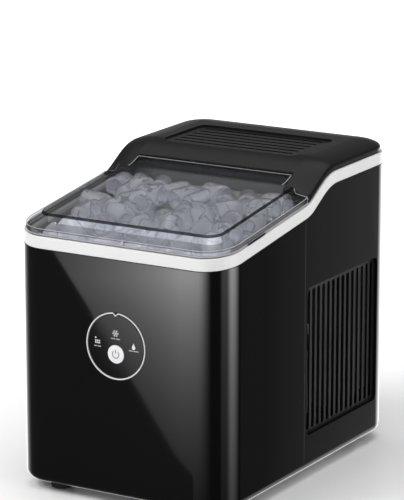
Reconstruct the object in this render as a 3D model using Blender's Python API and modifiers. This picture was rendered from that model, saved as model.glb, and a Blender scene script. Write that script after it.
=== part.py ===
"""Countertop bullet ice maker, 222 mm wide, 320 mm deep and 297 mm high, as separate named pieces.

World frame: X to the right, -Y towards the user, +Z up. The origin is on the surface that the feet
stand on, under the middle of the cabinet. Lengths are written in millimetres times MM.
"""

import math

import bmesh
import bpy
from mathutils import Matrix, Vector

MM = 0.001

# Cabinet
WIDTH = 222 * MM
DEPTH = 320 * MM
HALF_WIDTH = WIDTH / 2
HALF_DEPTH = DEPTH / 2
CORNER_RADIUS = 31 * MM
FOOT_HEIGHT = 8 * MM
WALL = 2.5 * MM
GAP = 0.3 * MM
PARTING_Y = -12.5 * MM

# Shoulder line: the underside of the white trim band, seen from the side
FRONT_SHOULDER_Z = 228.2 * MM
BEND_LOW = (-3 * MM, 249.2 * MM)
BEND_HIGH = (34 * MM, 270.9 * MM)
REAR_SHOULDER_Z = 271.8 * MM
BEND_LOW_REACH = 8 * MM
BEND_HIGH_REACH = 14 * MM

BAND_HEIGHT = 11.1 * MM
BAND_WALL = 3 * MM
SKIRT_HEIGHT = 5.5 * MM
CROWN = 8.6 * MM
LID_BASE = BAND_HEIGHT + 3 * GAP

# Lid and the rear cover that it is hinged to
LID_REAR_Y = -6 * MM
LID_INSET = 2 * MM
LID_WALL = 2.2 * MM
TAB_HALF_WIDTH = 82 * MM
COVER_FRONT_Y = -5.2 * MM
COVER_WALL = 3.2 * MM
COVER_RISE = 10.9 * MM
NOTCH_HALF_WIDTH = 82.8 * MM
NOTCH_Y = 15.5 * MM
HINGE_Y = 12.5 * MM
HINGE_Z = 278.8 * MM
BARREL_RADIUS = 2.4 * MM
PIN_RADIUS = 1.2 * MM

# Round control panel on the front
PANEL_Z = 149 * MM
PANEL_RADIUS = 31 * MM
BUTTON_Z = 141.6 * MM
BUTTON_RADIUS = 8.5 * MM

# Side vents
VENT_LOW = (-9.5 * MM, 42 * MM)
VENT_HIGH = (129.5 * MM, 183 * MM)
VENT_SLOTS = 14
VENT_FIRST_Y = -1 * MM
VENT_PITCH = 9.46 * MM
VENT_SLOT_RADIUS = 2.5 * MM

# Water tray, shovel and freezing fingers share this axis
TRAY_Y = -11 * MM
TRAY_Z = 222 * MM
TRAY_OUTER = 24 * MM
TRAY_INNER = 22.3 * MM
TRAY_HALF_WIDTH = 64 * MM
SHOVEL_OUTER = 27 * MM
SHOVEL_INNER = 25.5 * MM

# Refrigeration
COMPRESSOR = (-30 * MM, 96 * MM)
COMPRESSOR_RADIUS = 46 * MM
FAN_Y = 96 * MM
FAN_Z = 112 * MM
FAN_RADIUS = 44 * MM

PALETTE = {
    "gloss_black": ((0.012, 0.012, 0.013), 0.08, 0.0),
    "satin_black": ((0.018, 0.018, 0.019), 0.35, 0.0),
    "white": ((0.85, 0.85, 0.85), 0.3, 0.0),
    "smoked_clear": ((0.25, 0.25, 0.26), 0.05, 0.0),
    "grey_plastic": ((0.12, 0.12, 0.12), 0.4, 0.0),
    "pale_plastic": ((0.55, 0.56, 0.57), 0.4, 0.0),
    "ice": ((0.6, 0.65, 0.72), 0.1, 0.0),
    "steel": ((0.6, 0.6, 0.6), 0.3, 1.0),
    "copper": ((0.7, 0.35, 0.2), 0.3, 1.0),
    "aluminium": ((0.75, 0.75, 0.76), 0.35, 1.0),
    "painted_steel": ((0.02, 0.02, 0.02), 0.4, 0.0),
    "rubber": ((0.03, 0.03, 0.03), 0.8, 0.0),
    "foam": ((0.6, 0.58, 0.5), 0.9, 0.0),
    "board_green": ((0.03, 0.15, 0.06), 0.5, 0.0),
    "silicone": ((0.7, 0.7, 0.68), 0.5, 0.0),
}


# ---------------------------------------------------------------- scene and modelling helpers


def clear_scene():
    for obj in list(bpy.data.objects):
        bpy.data.objects.remove(obj, do_unlink=True)
    for collection in list(bpy.data.collections):
        bpy.data.collections.remove(collection)


def make_collection(name):
    collection = bpy.data.collections.new(name)
    bpy.context.scene.collection.children.link(collection)
    return collection


clear_scene()
PARTS = make_collection("ice_maker")
CUTTERS = make_collection("cutters")


def material(name):
    found = bpy.data.materials.get(name)
    if found:
        return found
    made = bpy.data.materials.new(name)
    made.use_nodes = True
    shader = made.node_tree.nodes["Principled BSDF"]
    colour, roughness, metallic = PALETTE[name]
    shader.inputs["Base Color"].default_value = (*colour, 1)
    shader.inputs["Roughness"].default_value = roughness
    shader.inputs["Metallic"].default_value = metallic
    return made


def add_object(name, mesh, finish, collection=None):
    obj = bpy.data.objects.new(name, mesh)
    (collection or PARTS).objects.link(obj)
    if finish:
        mesh.materials.append(material(finish))
    return obj


def from_bmesh(name, bm, finish, collection=None, smooth=False):
    mesh = bpy.data.meshes.new(name)
    bm.to_mesh(mesh)
    bm.free()
    if smooth:
        mesh.shade_smooth()
        mesh.set_sharp_from_angle(angle=math.radians(35))
    return add_object(name, mesh, finish, collection)


def add_block(bm, low, high):
    """A box between two corners, added to bm."""
    low, high = Vector(low), Vector(high)
    place = Matrix.Translation((low + high) / 2) @ Matrix.Diagonal((*(high - low), 1))
    bmesh.ops.create_cube(bm, size=1, matrix=place)


def block(name, low, high, finish, bevel=0, collection=None):
    bm = bmesh.new()
    add_block(bm, low, high)
    obj = from_bmesh(name, bm, finish, collection)
    if bevel:
        edge = obj.modifiers.new("rounding", "BEVEL")
        edge.width = bevel
        edge.segments = 2
    return obj


def along(direction):
    """A rotation that turns +Z to the direction."""
    return Vector(direction).to_track_quat("Z", "Y").to_matrix().to_4x4()


def add_rod(bm, start, end, radius, sides=24):
    """A cylinder between two points, added to bm."""
    start, end = Vector(start), Vector(end)
    place = Matrix.Translation((start + end) / 2) @ along(end - start)
    bmesh.ops.create_cone(
        bm,
        cap_ends=True,
        segments=sides,
        radius1=radius,
        radius2=radius,
        depth=(end - start).length,
        matrix=place,
    )


def rod(name, start, end, radius, finish, sides=24, collection=None):
    bm = bmesh.new()
    add_rod(bm, start, end, radius, sides)
    return from_bmesh(name, bm, finish, collection, smooth=True)


def turned(name, profile, place, finish, steps=28, axis=(0, 0, 1)):
    """A turned piece: (radius, height) points down its outer side, turned about its own Z axis."""
    mesh = bpy.data.meshes.new(name)
    points = [(radius, 0, height) for radius, height in profile]
    mesh.from_pydata(points, [(i, i + 1) for i in range(len(points) - 1)], [])
    obj = add_object(name, mesh, finish)
    obj.location = place
    obj.rotation_euler = along(axis).to_euler()
    screw = obj.modifiers.new("turn", "SCREW")
    screw.steps = steps
    screw.render_steps = steps
    screw.use_merge_vertices = True
    screw.merge_threshold = 0.00001
    return obj


def tube(name, points, radius, finish, resolution=2):
    """A pipe along a smooth curve through the points."""
    curve = bpy.data.curves.new(name, "CURVE")
    curve.dimensions = "3D"
    curve.bevel_depth = radius
    curve.bevel_resolution = resolution
    curve.use_fill_caps = True
    route = smooth_route(points)
    spline = curve.splines.new("POLY")
    spline.points.add(len(route) - 1)
    for slot, point in zip(spline.points, route):
        slot.co = (*point, 1)
    curve.materials.append(material(finish))
    obj = bpy.data.objects.new(name, curve)
    PARTS.objects.link(obj)
    return obj


def smooth_route(points, steps=4):
    """Catmull-Rom points through the given ones."""
    knots = [Vector(p) for p in points]
    knots = [2 * knots[0] - knots[1], *knots, 2 * knots[-1] - knots[-2]]
    route = []
    for a, b, c, d in zip(knots, knots[1:], knots[2:], knots[3:]):
        for i in range(steps):
            t = i / steps
            route.append(
                0.5
                * (
                    2 * b
                    + (c - a) * t
                    + (2 * a - 5 * b + 4 * c - d) * t**2
                    + (3 * b - a - 3 * c + d) * t**3
                )
            )
    route.append(knots[-2])
    return route


def boolean(obj, other, operation="DIFFERENCE"):
    modifier = obj.modifiers.new(operation.lower(), "BOOLEAN")
    modifier.operation = operation
    modifier.object = other


def cutter(name, bm):
    """A helper solid that only shapes others."""
    bmesh.ops.recalc_face_normals(bm, faces=bm.faces)
    obj = from_bmesh(name, bm, None, CUTTERS)
    obj.hide_render = True
    obj.display_type = "WIRE"
    return obj


def add_prism(bm, outline, direction):
    """The closed outline, swept along the direction."""
    face = bm.faces.new([bm.verts.new(p) for p in outline])
    swept = bmesh.ops.extrude_face_region(bm, geom=[face])
    moved = [v for v in swept["geom"] if isinstance(v, bmesh.types.BMVert)]
    bmesh.ops.translate(bm, verts=moved, vec=direction)


def prism(name, outline, direction, finish, collection=None):
    bm = bmesh.new()
    add_prism(bm, outline, direction)
    bmesh.ops.recalc_face_normals(bm, faces=bm.faces)
    return from_bmesh(name, bm, finish, collection)


def solidify(obj, thickness):
    """Gives an open surface its wall, on the side that its normals point away from."""
    wall = obj.modifiers.new("wall", "SOLIDIFY")
    wall.thickness = thickness
    wall.offset = -1
    wall.use_even_offset = True


def turn_outwards(bm, inside):
    """Turns all faces together so that most of them face away from the inside point."""
    bm.normal_update()
    inside = Vector(inside)
    facing = sum(
        face.normal.dot(face.calc_center_median() - inside) * face.calc_area()
        for face in bm.faces
    )
    if facing < 0:
        bmesh.ops.reverse_faces(bm, faces=bm.faces)


# ---------------------------------------------------------------- outlines


def shoulder(y):
    """Height of the cabinet's top edge at y: a gentle slope, an S bend and a level rear part."""
    corners = [
        (-HALF_DEPTH, FRONT_SHOULDER_Z),
        BEND_LOW,
        BEND_HIGH,
        (HALF_DEPTH, REAR_SHOULDER_Z),
    ]
    slopes = [(b[1] - a[1]) / (b[0] - a[0]) for a, b in zip(corners, corners[1:])]
    height = corners[0][1] + slopes[0] * (y - corners[0][0])
    for corner, reach, before, after in (
        (BEND_LOW, BEND_LOW_REACH, slopes[0], slopes[1]),
        (BEND_HIGH, BEND_HIGH_REACH, slopes[1], slopes[2]),
    ):
        past = y - (corner[0] - reach)
        if past > 2 * reach:
            bend = y - corner[0]
        else:
            bend = max(past, 0) ** 2 / (4 * reach)
        height += (after - before) * bend
    return height


SIDE_STATIONS = [y * MM for y in (-9, -5.2, -1.2, 2, 6, 10.5, 15.5, 21, 26, 32, 38, 46)]


def u_path(end, stations, inset=0, arc_steps=6):
    """Half of the cabinet's plan: right side, corner, end wall, corner, left side.

    end is -1 for the front half and +1 for the rear half; stations are the y values of the points
    on the straight sides, from the open end.
    """
    radius = CORNER_RADIUS - inset
    centre_x = HALF_WIDTH - CORNER_RADIUS
    centre_y = end * (HALF_DEPTH - CORNER_RADIUS)
    right = [(HALF_WIDTH - inset, y) for y in stations]
    for i in range(arc_steps + 1):
        angle = math.pi / 2 * i / arc_steps
        right.append(
            (centre_x + radius * math.cos(angle), centre_y + end * radius * math.sin(angle))
        )
    return right + [(-x, y) for x, y in reversed(right)]


def rounded_loop(half_width, y_front, y_back, radius, stations=(), arc_steps=5):
    """A closed rounded rectangle, anticlockwise from its right side."""
    loop = [(half_width, y) for y in stations]
    for centre_x, centre_y, start in (
        (half_width - radius, y_back - radius, 0),
        (-half_width + radius, y_back - radius, 90),
    ):
        for i in range(arc_steps + 1):
            angle = math.radians(start + 90 * i / arc_steps)
            loop.append((centre_x + radius * math.cos(angle), centre_y + radius * math.sin(angle)))
    loop += [(-half_width, y) for y in reversed(stations)]
    for centre_x, centre_y, start in (
        (-half_width + radius, y_front + radius, 180),
        (half_width - radius, y_front + radius, 270),
    ):
        for i in range(arc_steps + 1):
            angle = math.radians(start + 90 * i / arc_steps)
            loop.append((centre_x + radius * math.cos(angle), centre_y + radius * math.sin(angle)))
    return loop


def skin(bm, loops, closed):
    """Faces between each loop of points and the next; gives back the rows of vertices."""
    rows = [[bm.verts.new(p) for p in loop] for loop in loops]
    for low, high in zip(rows, rows[1:]):
        count = len(low) if closed else len(low) - 1
        for i in range(count):
            j = (i + 1) % len(low)
            bm.faces.new((low[i], low[j], high[j], high[i]))
    return rows


def bridge(bm, row, keep=lambda a, b: True):
    """Joins the two halves of a U-shaped row straight across, from its open end."""
    half = len(row) // 2
    for i in range(half - 1):
        a, b, c, d = row[i], row[i + 1], row[-2 - i], row[-1 - i]
        if keep(a, b):
            bm.faces.new((a, b, c, d))


# ---------------------------------------------------------------- cabinet


def wall_loops(path):
    """The outside of a cabinet wall: tucked in at the foot, up to the shoulder line."""
    centre = Vector((0, 0))
    foot = []
    for x, y in path:
        inward = (centre - Vector((x, y))).normalized() * 2 * MM
        foot.append((x + inward.x, y + inward.y, FOOT_HEIGHT))
    return [
        foot,
        [(x, y, FOOT_HEIGHT + 3 * MM) for x, y in path],
        [(x, y, shoulder(y) - GAP) for x, y in path],
    ]


def build_front_cover():
    stations = [PARTING_Y - GAP, -60 * MM]
    bm = bmesh.new()
    skin(bm, wall_loops(u_path(-1, stations)), closed=False)
    turn_outwards(bm, (0, 0, 120 * MM))
    cover = from_bmesh("front_cover", bm, "gloss_black")
    solidify(cover, WALL)
    hole = bmesh.new()
    front = -HALF_DEPTH
    add_rod(
        hole,
        (0, front - 5 * MM, PANEL_Z),
        (0, front + 10 * MM, PANEL_Z),
        PANEL_RADIUS + GAP,
        sides=40,
    )
    boolean(cover, cutter("panel_hole", hole))


def vent_opening(bm, side, inner, outer):
    """The rounded window of a side vent, between two distances from the middle."""
    radius = 7 * MM
    low, high = VENT_LOW, VENT_HIGH
    outline = []
    for y, z, start in (
        (high[0] - radius, high[1] - radius, 0),
        (low[0] + radius, high[1] - radius, 90),
        (low[0] + radius, low[1] + radius, 180),
        (high[0] - radius, low[1] + radius, 270),
    ):
        for i in range(5):
            angle = math.radians(start + 22.5 * i)
            outline.append(
                (side * inner, y + radius * math.cos(angle), z + radius * math.sin(angle))
            )
    add_prism(bm, outline, (side * (outer - inner), 0, 0))


REAR_SCREWS = [(x * MM, z * MM) for x in (-88, 88) for z in (62, 225)]
CORD_INLET = (70 * MM, 34 * MM)
DRAIN = (-86 * MM, 31 * MM)


def build_rear_housing():
    bm = bmesh.new()
    skin(bm, wall_loops(u_path(1, [PARTING_Y, *SIDE_STATIONS])), closed=False)
    turn_outwards(bm, (0, 0, 120 * MM))
    housing = from_bmesh("rear_housing", bm, "satin_black")
    solidify(housing, WALL)
    holes = bmesh.new()
    for side in (-1, 1):
        vent_opening(holes, side, HALF_WIDTH - 6 * MM, HALF_WIDTH + 4 * MM)
    back = HALF_DEPTH
    for x, z in REAR_SCREWS:
        add_rod(holes, (x, back - 8 * MM, z), (x, back + 4 * MM, z), 3.6 * MM, sides=16)
    for (x, z), radius in ((CORD_INLET, 9.4 * MM), (DRAIN, 9.4 * MM)):
        add_rod(holes, (x, back - 8 * MM, z), (x, back + 4 * MM, z), radius)
    boolean(housing, cutter("housing_holes", holes))


def build_trim_band():
    """The white ring between the cabinet and everything on top of it."""
    stations = [-100 * MM, -40 * MM, *SIDE_STATIONS]
    plan = rounded_loop(HALF_WIDTH, -HALF_DEPTH, HALF_DEPTH, CORNER_RADIUS, stations)
    bm = bmesh.new()
    skin(
        bm,
        [
            [(x, y, shoulder(y)) for x, y in plan],
            [(x, y, shoulder(y) + BAND_HEIGHT) for x, y in plan],
        ],
        closed=True,
    )
    turn_outwards(bm, (0, 0, 250 * MM))
    solidify(from_bmesh("trim_band", bm, "white"), BAND_WALL)


# The rear cover's section: distance in from the cabinet's side, and rise above LID_BASE
COVER_SECTION = (
    (2 * MM, 3.2 * MM),
    (2.9 * MM, 5.1 * MM),
    (4.8 * MM, 6.3 * MM),
    (10 * MM, 8.4 * MM),
    (18 * MM, 10.1 * MM),
    (HALF_WIDTH - NOTCH_HALF_WIDTH, COVER_RISE),
)


def cover_base(y):
    """Height of the rear cover's lower edge, level across the thickness of its front wall."""
    return shoulder(max(y, COVER_FRONT_Y + COVER_WALL)) + LID_BASE


def build_top_cover():
    """The crowned rear cover, with arms beside the lid and a sunk, grooved panel on top."""
    stations = [y for y in SIDE_STATIONS if y >= COVER_FRONT_Y]
    edge = COVER_SECTION[0][0]
    loops = [[(x, y, cover_base(y)) for x, y in u_path(1, stations, edge)]]
    for inset, rise in COVER_SECTION:
        path = u_path(1, stations, inset)
        loops.append([(x, y, shoulder(y) + LID_BASE + rise) for x, y in path])
    bm = bmesh.new()
    rows = skin(bm, loops, closed=False)
    bridge(bm, rows[-1], keep=lambda a, b: min(a.co.y, b.co.y) > NOTCH_Y - GAP)
    drop_edge_walls(bm)
    turn_outwards(bm, (0, 60 * MM, 200 * MM))
    cover = from_bmesh("top_cover", bm, "satin_black")
    solidify(cover, COVER_WALL)
    top = shoulder(80 * MM) + LID_BASE + COVER_RISE
    sunk = bmesh.new()
    panel = rounded_loop(72.5 * MM, 37.5 * MM, 114.5 * MM, 9 * MM)
    add_prism(sunk, [(x, y, top - 1.8 * MM) for x, y in panel], (0, 0, 10 * MM))
    boolean(cover, cutter("sunk_panel", sunk))
    grooves = bmesh.new()
    for i in range(6):
        y = (47 + 11.5 * i) * MM
        low = (-63 * MM, y - 1.6 * MM, top - 2.5 * MM)
        add_block(grooves, low, (63 * MM, y + 1.6 * MM, top + 5 * MM))
    boolean(cover, cutter("top_grooves", grooves))
    pins = bmesh.new()
    add_rod(
        pins,
        (-NOTCH_HALF_WIDTH - 5 * MM, HINGE_Y, HINGE_Z),
        (NOTCH_HALF_WIDTH + 5 * MM, HINGE_Y, HINGE_Z),
        PIN_RADIUS + GAP,
        sides=12,
    )
    boolean(cover, cutter("hinge_pin_bores", pins))


def drop_edge_walls(bm):
    """Walls below the arms' front ends and round the notch that the lid's tab fills."""
    edges = [e for e in bm.edges if e.is_boundary]
    drop = [e for e in edges if all(v.co.z > cover_base(v.co.y) + GAP for v in e.verts)]
    drop = [e for e in drop if all(v.co.y < NOTCH_Y + GAP for v in e.verts)]
    made = bmesh.ops.extrude_edge_only(bm, edges=drop)
    for item in made["geom"]:
        if isinstance(item, bmesh.types.BMVert):
            item.co.z = cover_base(item.co.y)
    bmesh.ops.remove_doubles(bm, verts=bm.verts, dist=0.01 * MM)


def build_lid():
    """The clear lid: skirt, ledge, raised window, and a tab up to the hinge barrel."""
    stations = [y * MM for y in (-6, -30, -70, -110)]
    profile = (
        (0, 0),
        (0, SKIRT_HEIGHT - 1.5 * MM),
        (1.5 * MM, SKIRT_HEIGHT),
        (13 * MM, SKIRT_HEIGHT + 2.6 * MM),
        (15 * MM, SKIRT_HEIGHT + 6.8 * MM),
        (17.5 * MM, SKIRT_HEIGHT + CROWN),
    )
    loops = [
        [
            (x, y, shoulder(y) + LID_BASE + rise)
            for x, y in u_path(-1, stations, LID_INSET + inset)
        ]
        for inset, rise in profile
    ]
    bm = bmesh.new()
    rows = skin(bm, loops, closed=False)
    bridge(bm, rows[-1])
    add_lid_tab(bm)
    turn_outwards(bm, (0, -60 * MM, 200 * MM))
    lid = from_bmesh("lid", bm, "smoked_clear")
    solidify(lid, LID_WALL)
    barrel = bmesh.new()
    ends = [(s * TAB_HALF_WIDTH, HINGE_Y, HINGE_Z) for s in (-1, 1)]
    add_rod(barrel, *ends, BARREL_RADIUS, sides=16)
    boolean(lid, cutter("hinge_barrel", barrel), "UNION")
    bores = bmesh.new()
    for side in (-1, 1):
        add_rod(
            bores,
            (side * (TAB_HALF_WIDTH - 8 * MM), HINGE_Y, HINGE_Z),
            (side * (TAB_HALF_WIDTH + 4 * MM), HINGE_Y, HINGE_Z),
            PIN_RADIUS + GAP,
            sides=12,
        )
    boolean(lid, cutter("lid_bores", bores))
    lid_axis = (0, HINGE_Y, HINGE_Z)
    lid.data.transform(Matrix.Translation(-Vector(lid_axis)))
    lid.location = lid_axis


def add_lid_tab(bm):
    """The tab from the window's rear edge up the slope, down to the cover's level at the barrel."""
    rows = []
    for y in (LID_REAR_Y, 0, 6 * MM, HINGE_Y - 0.5 * MM):
        part = (y - LID_REAR_Y) / (HINGE_Y - LID_REAR_Y)
        z = shoulder(y) + LID_BASE + SKIRT_HEIGHT + CROWN
        z += (COVER_RISE - SKIRT_HEIGHT - CROWN) * part
        rows.append([bm.verts.new((s * TAB_HALF_WIDTH, y, z)) for s in (1, -1)])
    rear = [v for v in bm.verts if abs(v.co.y - LID_REAR_Y) < 0.01 * MM and v not in rows[0]]
    highest = max(v.co.z for v in rear)
    left, right = sorted((v for v in rear if v.co.z == highest), key=lambda v: v.co.x)
    panel = bm.edges.get((right, left)).link_faces[0]
    near = sorted((v for v in panel.verts if v not in (right, left)), key=lambda v: v.co.x)
    bm.faces.remove(panel)
    bm.faces.new((near[0], left, rows[0][1], rows[0][0], right, near[1]))
    for low, high in zip(rows, rows[1:]):
        bm.faces.new((low[0], low[1], high[1], high[0]))
    bmesh.ops.recalc_face_normals(bm, faces=bm.faces)


def build_hinge_pins():
    for side, word in ((-1, "left"), (1, "right")):
        rod(
            f"lid_hinge_pin_{word}",
            (side * (TAB_HALF_WIDTH - 7 * MM), HINGE_Y, HINGE_Z),
            (side * (NOTCH_HALF_WIDTH + 4 * MM), HINGE_Y, HINGE_Z),
            PIN_RADIUS,
            "steel",
            sides=12,
        )


def build_side_grilles():
    for side, word in ((-1, "left"), (1, "right")):
        inner, outer = (HALF_WIDTH - 4.9 * MM, HALF_WIDTH - 2.9 * MM)
        edge = 2 * MM
        xs = sorted((side * inner, side * outer))
        grille = block(
            f"side_grille_{word}",
            (xs[0], VENT_LOW[0] - edge, VENT_LOW[1] - edge),
            (xs[1], VENT_HIGH[0] + edge, VENT_HIGH[1] + edge),
            "satin_black",
        )
        slots = bmesh.new()
        for i in range(VENT_SLOTS):
            y = VENT_FIRST_Y + i * VENT_PITCH
            outline = []
            for z, start in ((VENT_HIGH[1] - 7 * MM, 0), (VENT_LOW[1] + 7 * MM, 180)):
                for step in range(5):
                    angle = math.radians(start + 45 * step)
                    outline.append(
                        (
                            side * (inner - 3 * MM),
                            y + VENT_SLOT_RADIUS * math.cos(angle),
                            z + VENT_SLOT_RADIUS * math.sin(angle),
                        )
                    )
            add_prism(slots, outline, (side * 8 * MM, 0, 0))
        boolean(grille, cutter(f"grille_slots_{word}", slots))


def build_base():
    plan = rounded_loop(105.6 * MM, -154.6 * MM, 154.6 * MM, 26 * MM)
    bottom = FOOT_HEIGHT + GAP
    prism("base_plate", [(x, y, bottom) for x, y in plan], (0, 0, 3 * MM), "painted_steel")
    names = ("front_left", "front_right", "rear_left", "rear_right")
    places = [(x * MM, y * MM) for y in (-137, 137) for x in (-73, 73)]
    profile = [(0, 8), (9, 8), (11, 6.5), (11, 1.5), (9.5, 0), (0, 0)]
    for name, (x, y) in zip(names, places):
        turned(f"foot_{name}", [(r * MM, h * MM) for r, h in profile], (x, y, 0), "rubber", 20)


# ---------------------------------------------------------------- control panel


def build_panel():
    front = -HALF_DEPTH
    ring = [(29.4, 1.7), (29.6, 2), (30.8, 2), (31, 1.7), (31, 0), (29.4, 0), (29.4, 1.7)]
    place = (0, front + 2 * MM, PANEL_Z)
    turned("panel_ring", [(r * MM, h * MM) for r, h in ring], place, "steel", 48, (0, -1, 0))
    lens = rod(
        "panel_lens",
        (0, front, PANEL_Z),
        (0, front + 2.2 * MM, PANEL_Z),
        29.1 * MM,
        "gloss_black",
        sides=40,
    )
    hole = bmesh.new()
    button_front = (0, front - 4 * MM, BUTTON_Z)
    add_rod(hole, button_front, (0, front + 6 * MM, BUTTON_Z), BUTTON_RADIUS + GAP)
    boolean(lens, cutter("button_hole", hole))
    carrier = block(
        "panel_carrier",
        (-36 * MM, front + 2.9 * MM, 110 * MM),
        (36 * MM, front + 4.7 * MM, 188 * MM),
        "grey_plastic",
    )
    stem_hole = bmesh.new()
    add_rod(stem_hole, button_front, (0, front + 9 * MM, BUTTON_Z), 3.5 * MM, sides=16)
    boolean(carrier, cutter("stem_hole", stem_hole))
    button = [(0, 7.2), (8, 7.2), (8.5, 6.7), (8.5, 5.7), (3, 5.7), (3, 0), (0, 0)]
    turned(
        "power_button",
        [(r * MM, h * MM) for r, h in button],
        (0, front + 7.2 * MM, BUTTON_Z),
        "white",
        axis=(0, -1, 0),
    )
    block(
        "button_switch",
        (-3 * MM, front + 8.3 * MM, BUTTON_Z - 3 * MM),
        (3 * MM, front + 10.1 * MM, BUTTON_Z + 3 * MM),
        "grey_plastic",
    )
    block(
        "control_board",
        (-32 * MM, front + 10.4 * MM, 116 * MM),
        (32 * MM, front + 12 * MM, 180 * MM),
        "board_green",
    )


# ---------------------------------------------------------------- ice chamber


def tank_rim(y):
    """The tank's rim stands a little above the shoulder line, and is level at the rear."""
    return shoulder(min(y, 15 * MM)) + 8.2 * MM


def build_inner_tank():
    """The tub that holds the water, with a rim turned out at its top."""
    bm = bmesh.new()
    stations = [y * MM for y in (-90, -40, -15, -8, -3)]
    loops = []
    for half_width, y_front, y_back, radius, height in (
        (105.4, -154.4, 25.4, 27.4, tank_rim),
        (100, -150, 20, 22, tank_rim),
        (98, -126, 19.5, 20, lambda y: 72 * MM),
        (94, -122, 16, 18, lambda y: 64 * MM),
    ):
        plan = rounded_loop(
            half_width * MM, y_front * MM, y_back * MM, radius * MM, stations
        )
        loops.append([(x, y, height(y)) for x, y in plan])
    rows = skin(bm, loops, closed=True)
    bm.faces.new(rows[-1])
    turn_outwards(bm, (0, -60 * MM, 160 * MM))
    solidify(from_bmesh("inner_tank", bm, "grey_plastic"), 2 * MM)


def build_insulation():
    bm = bmesh.new()
    loops = []
    for half_width, y_front, y_back, radius, z in (
        (105.5, -138, 26.5, 26, 115),
        (104.5, -133, 26, 26, 60),
        (100, -128, 22, 22, 56),
    ):
        plan = rounded_loop(half_width * MM, y_front * MM, y_back * MM, radius * MM)
        loops.append([(x, y, z * MM) for x, y in plan])
    rows = skin(bm, loops, closed=True)
    bm.faces.new(rows[-1])
    turn_outwards(bm, (0, -60 * MM, 100 * MM))
    solidify(from_bmesh("tank_insulation", bm, "foam"), 4 * MM)


def basket_rim(y):
    """The basket's rim follows the lid, and drops at the rear where the ice comes in."""
    full = shoulder(y) + 2 * MM
    start, end, low = -78 * MM, -50 * MM, 205 * MM
    part = min(max((y - start) / (end - start), 0), 1)
    return full + (low - full) * part


def build_ice_basket():
    bm = bmesh.new()
    stations = [y * MM for y in (-100, -78, -66)]
    loops = []
    for half_width, y_front, y_back, radius, height in (
        (94.5, -145.5, -42, 20, basket_rim),
        (92, -128, -42.5, 18, lambda y: 116 * MM),
        (88, -124, -46, 15, lambda y: 111 * MM),
    ):
        plan = rounded_loop(
            half_width * MM, y_front * MM, y_back * MM, radius * MM, stations
        )
        loops.append([(x, y, height(y)) for x, y in plan])
    rows = skin(bm, loops, closed=True)
    bm.faces.new(rows[-1])
    turn_outwards(bm, (0, -90 * MM, 180 * MM))
    basket = from_bmesh("ice_basket", bm, "pale_plastic")
    solidify(basket, 1.8 * MM)
    drains = bmesh.new()
    for x in (-60, -30, 0, 30, 60):
        for y in (-108, -68):
            low = ((x - 2.5) * MM, (y - 11) * MM, 105 * MM)
            add_block(drains, low, ((x + 2.5) * MM, (y + 11) * MM, 114.5 * MM))
    boolean(basket, cutter("basket_drains", drains))


def heap_height(x, y):
    """The uneven top of the heap of ice, a little below the lid."""
    lumps = math.sin(x / (9 * MM)) * math.cos(y / (8 * MM)) + math.sin(x / (23 * MM) + 1)
    return shoulder(y) + 12 * MM + 1.2 * MM * lumps


def build_ice_pile():
    """The heap as one plain solid that fills the basket."""
    bm = bmesh.new()
    stations = [y * MM for y in (-98, -90)]
    loops = []
    for half_width, y_front, y_back, radius, height in (
        (85, -121, -49, 14, lambda x, y: 114 * MM),
        (89, -125, -46, 16, lambda x, y: 120 * MM),
        (91.3, -142, -45.5, 18, lambda x, y: basket_rim(y) - 4 * MM),
        (88, -139, -49, 16, lambda x, y: heap_height(x, y) - 8 * MM),
        (80, -131, -56, 13, heap_height),
        (66, -122, -66, 10, heap_height),
        (50, -112, -78, 8, heap_height),
    ):
        plan = rounded_loop(
            half_width * MM, y_front * MM, y_back * MM, radius * MM, stations
        )
        loops.append([(x, y, height(x, y)) for x, y in plan])
    rows = skin(bm, loops, closed=True)
    bm.faces.new(rows[0])
    bm.faces.new(rows[-1])
    bmesh.ops.recalc_face_normals(bm, faces=bm.faces)
    from_bmesh("ice_pile", bm, "ice")


def build_evaporator():
    """A cold block with nine hanging fingers, and its two refrigerant stubs."""
    low = (-58 * MM, TRAY_Y - 12 * MM, TRAY_Z + 8 * MM)
    high = (58 * MM, TRAY_Y + 12 * MM, TRAY_Z + 14 * MM)
    cold_block = block("evaporator", low, high, "aluminium")
    fingers = bmesh.new()
    places = [(24 * i * MM, -6.5 * MM) for i in (-2, -1, 0, 1, 2)]
    places += [(24 * i * MM, 6.5 * MM) for i in (-1.5, -0.5, 0.5, 1.5)]
    for x, y in places:
        top = (x, TRAY_Y + y, TRAY_Z + 10 * MM)
        add_rod(fingers, top, (x, TRAY_Y + y, TRAY_Z - 16 * MM), 4.2 * MM, sides=12)
    for x in (-50 * MM, 50 * MM):
        add_rod(fingers, (x, TRAY_Y, high[2] - MM), (x, TRAY_Y, 246.2 * MM), 3 * MM, sides=12)
    boolean(cold_block, cutter("fingers", fingers), "UNION")


def build_evaporator_bracket():
    """The frame that carries the evaporator and the tray's bearings."""
    plate = block(
        "evaporator_bracket",
        (-76 * MM, TRAY_Y - 14 * MM, 246.6 * MM),
        (76 * MM, TRAY_Y + 14 * MM, 248.6 * MM),
        "grey_plastic",
    )
    cheeks = bmesh.new()
    for side in (-1, 1):
        xs = sorted((side * 73 * MM, side * 75.5 * MM))
        low = (xs[0], TRAY_Y - 8 * MM, 213 * MM)
        add_block(cheeks, low, (xs[1], TRAY_Y + 8 * MM, 247.6 * MM))
    boolean(plate, cutter("bracket_cheeks", cheeks), "UNION")
    bore = bmesh.new()
    ends = [(s * 80 * MM, TRAY_Y, TRAY_Z) for s in (-1, 1)]
    add_rod(bore, *ends, 3.4 * MM, sides=16)
    boolean(plate, cutter("bracket_bores", bore))


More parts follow.
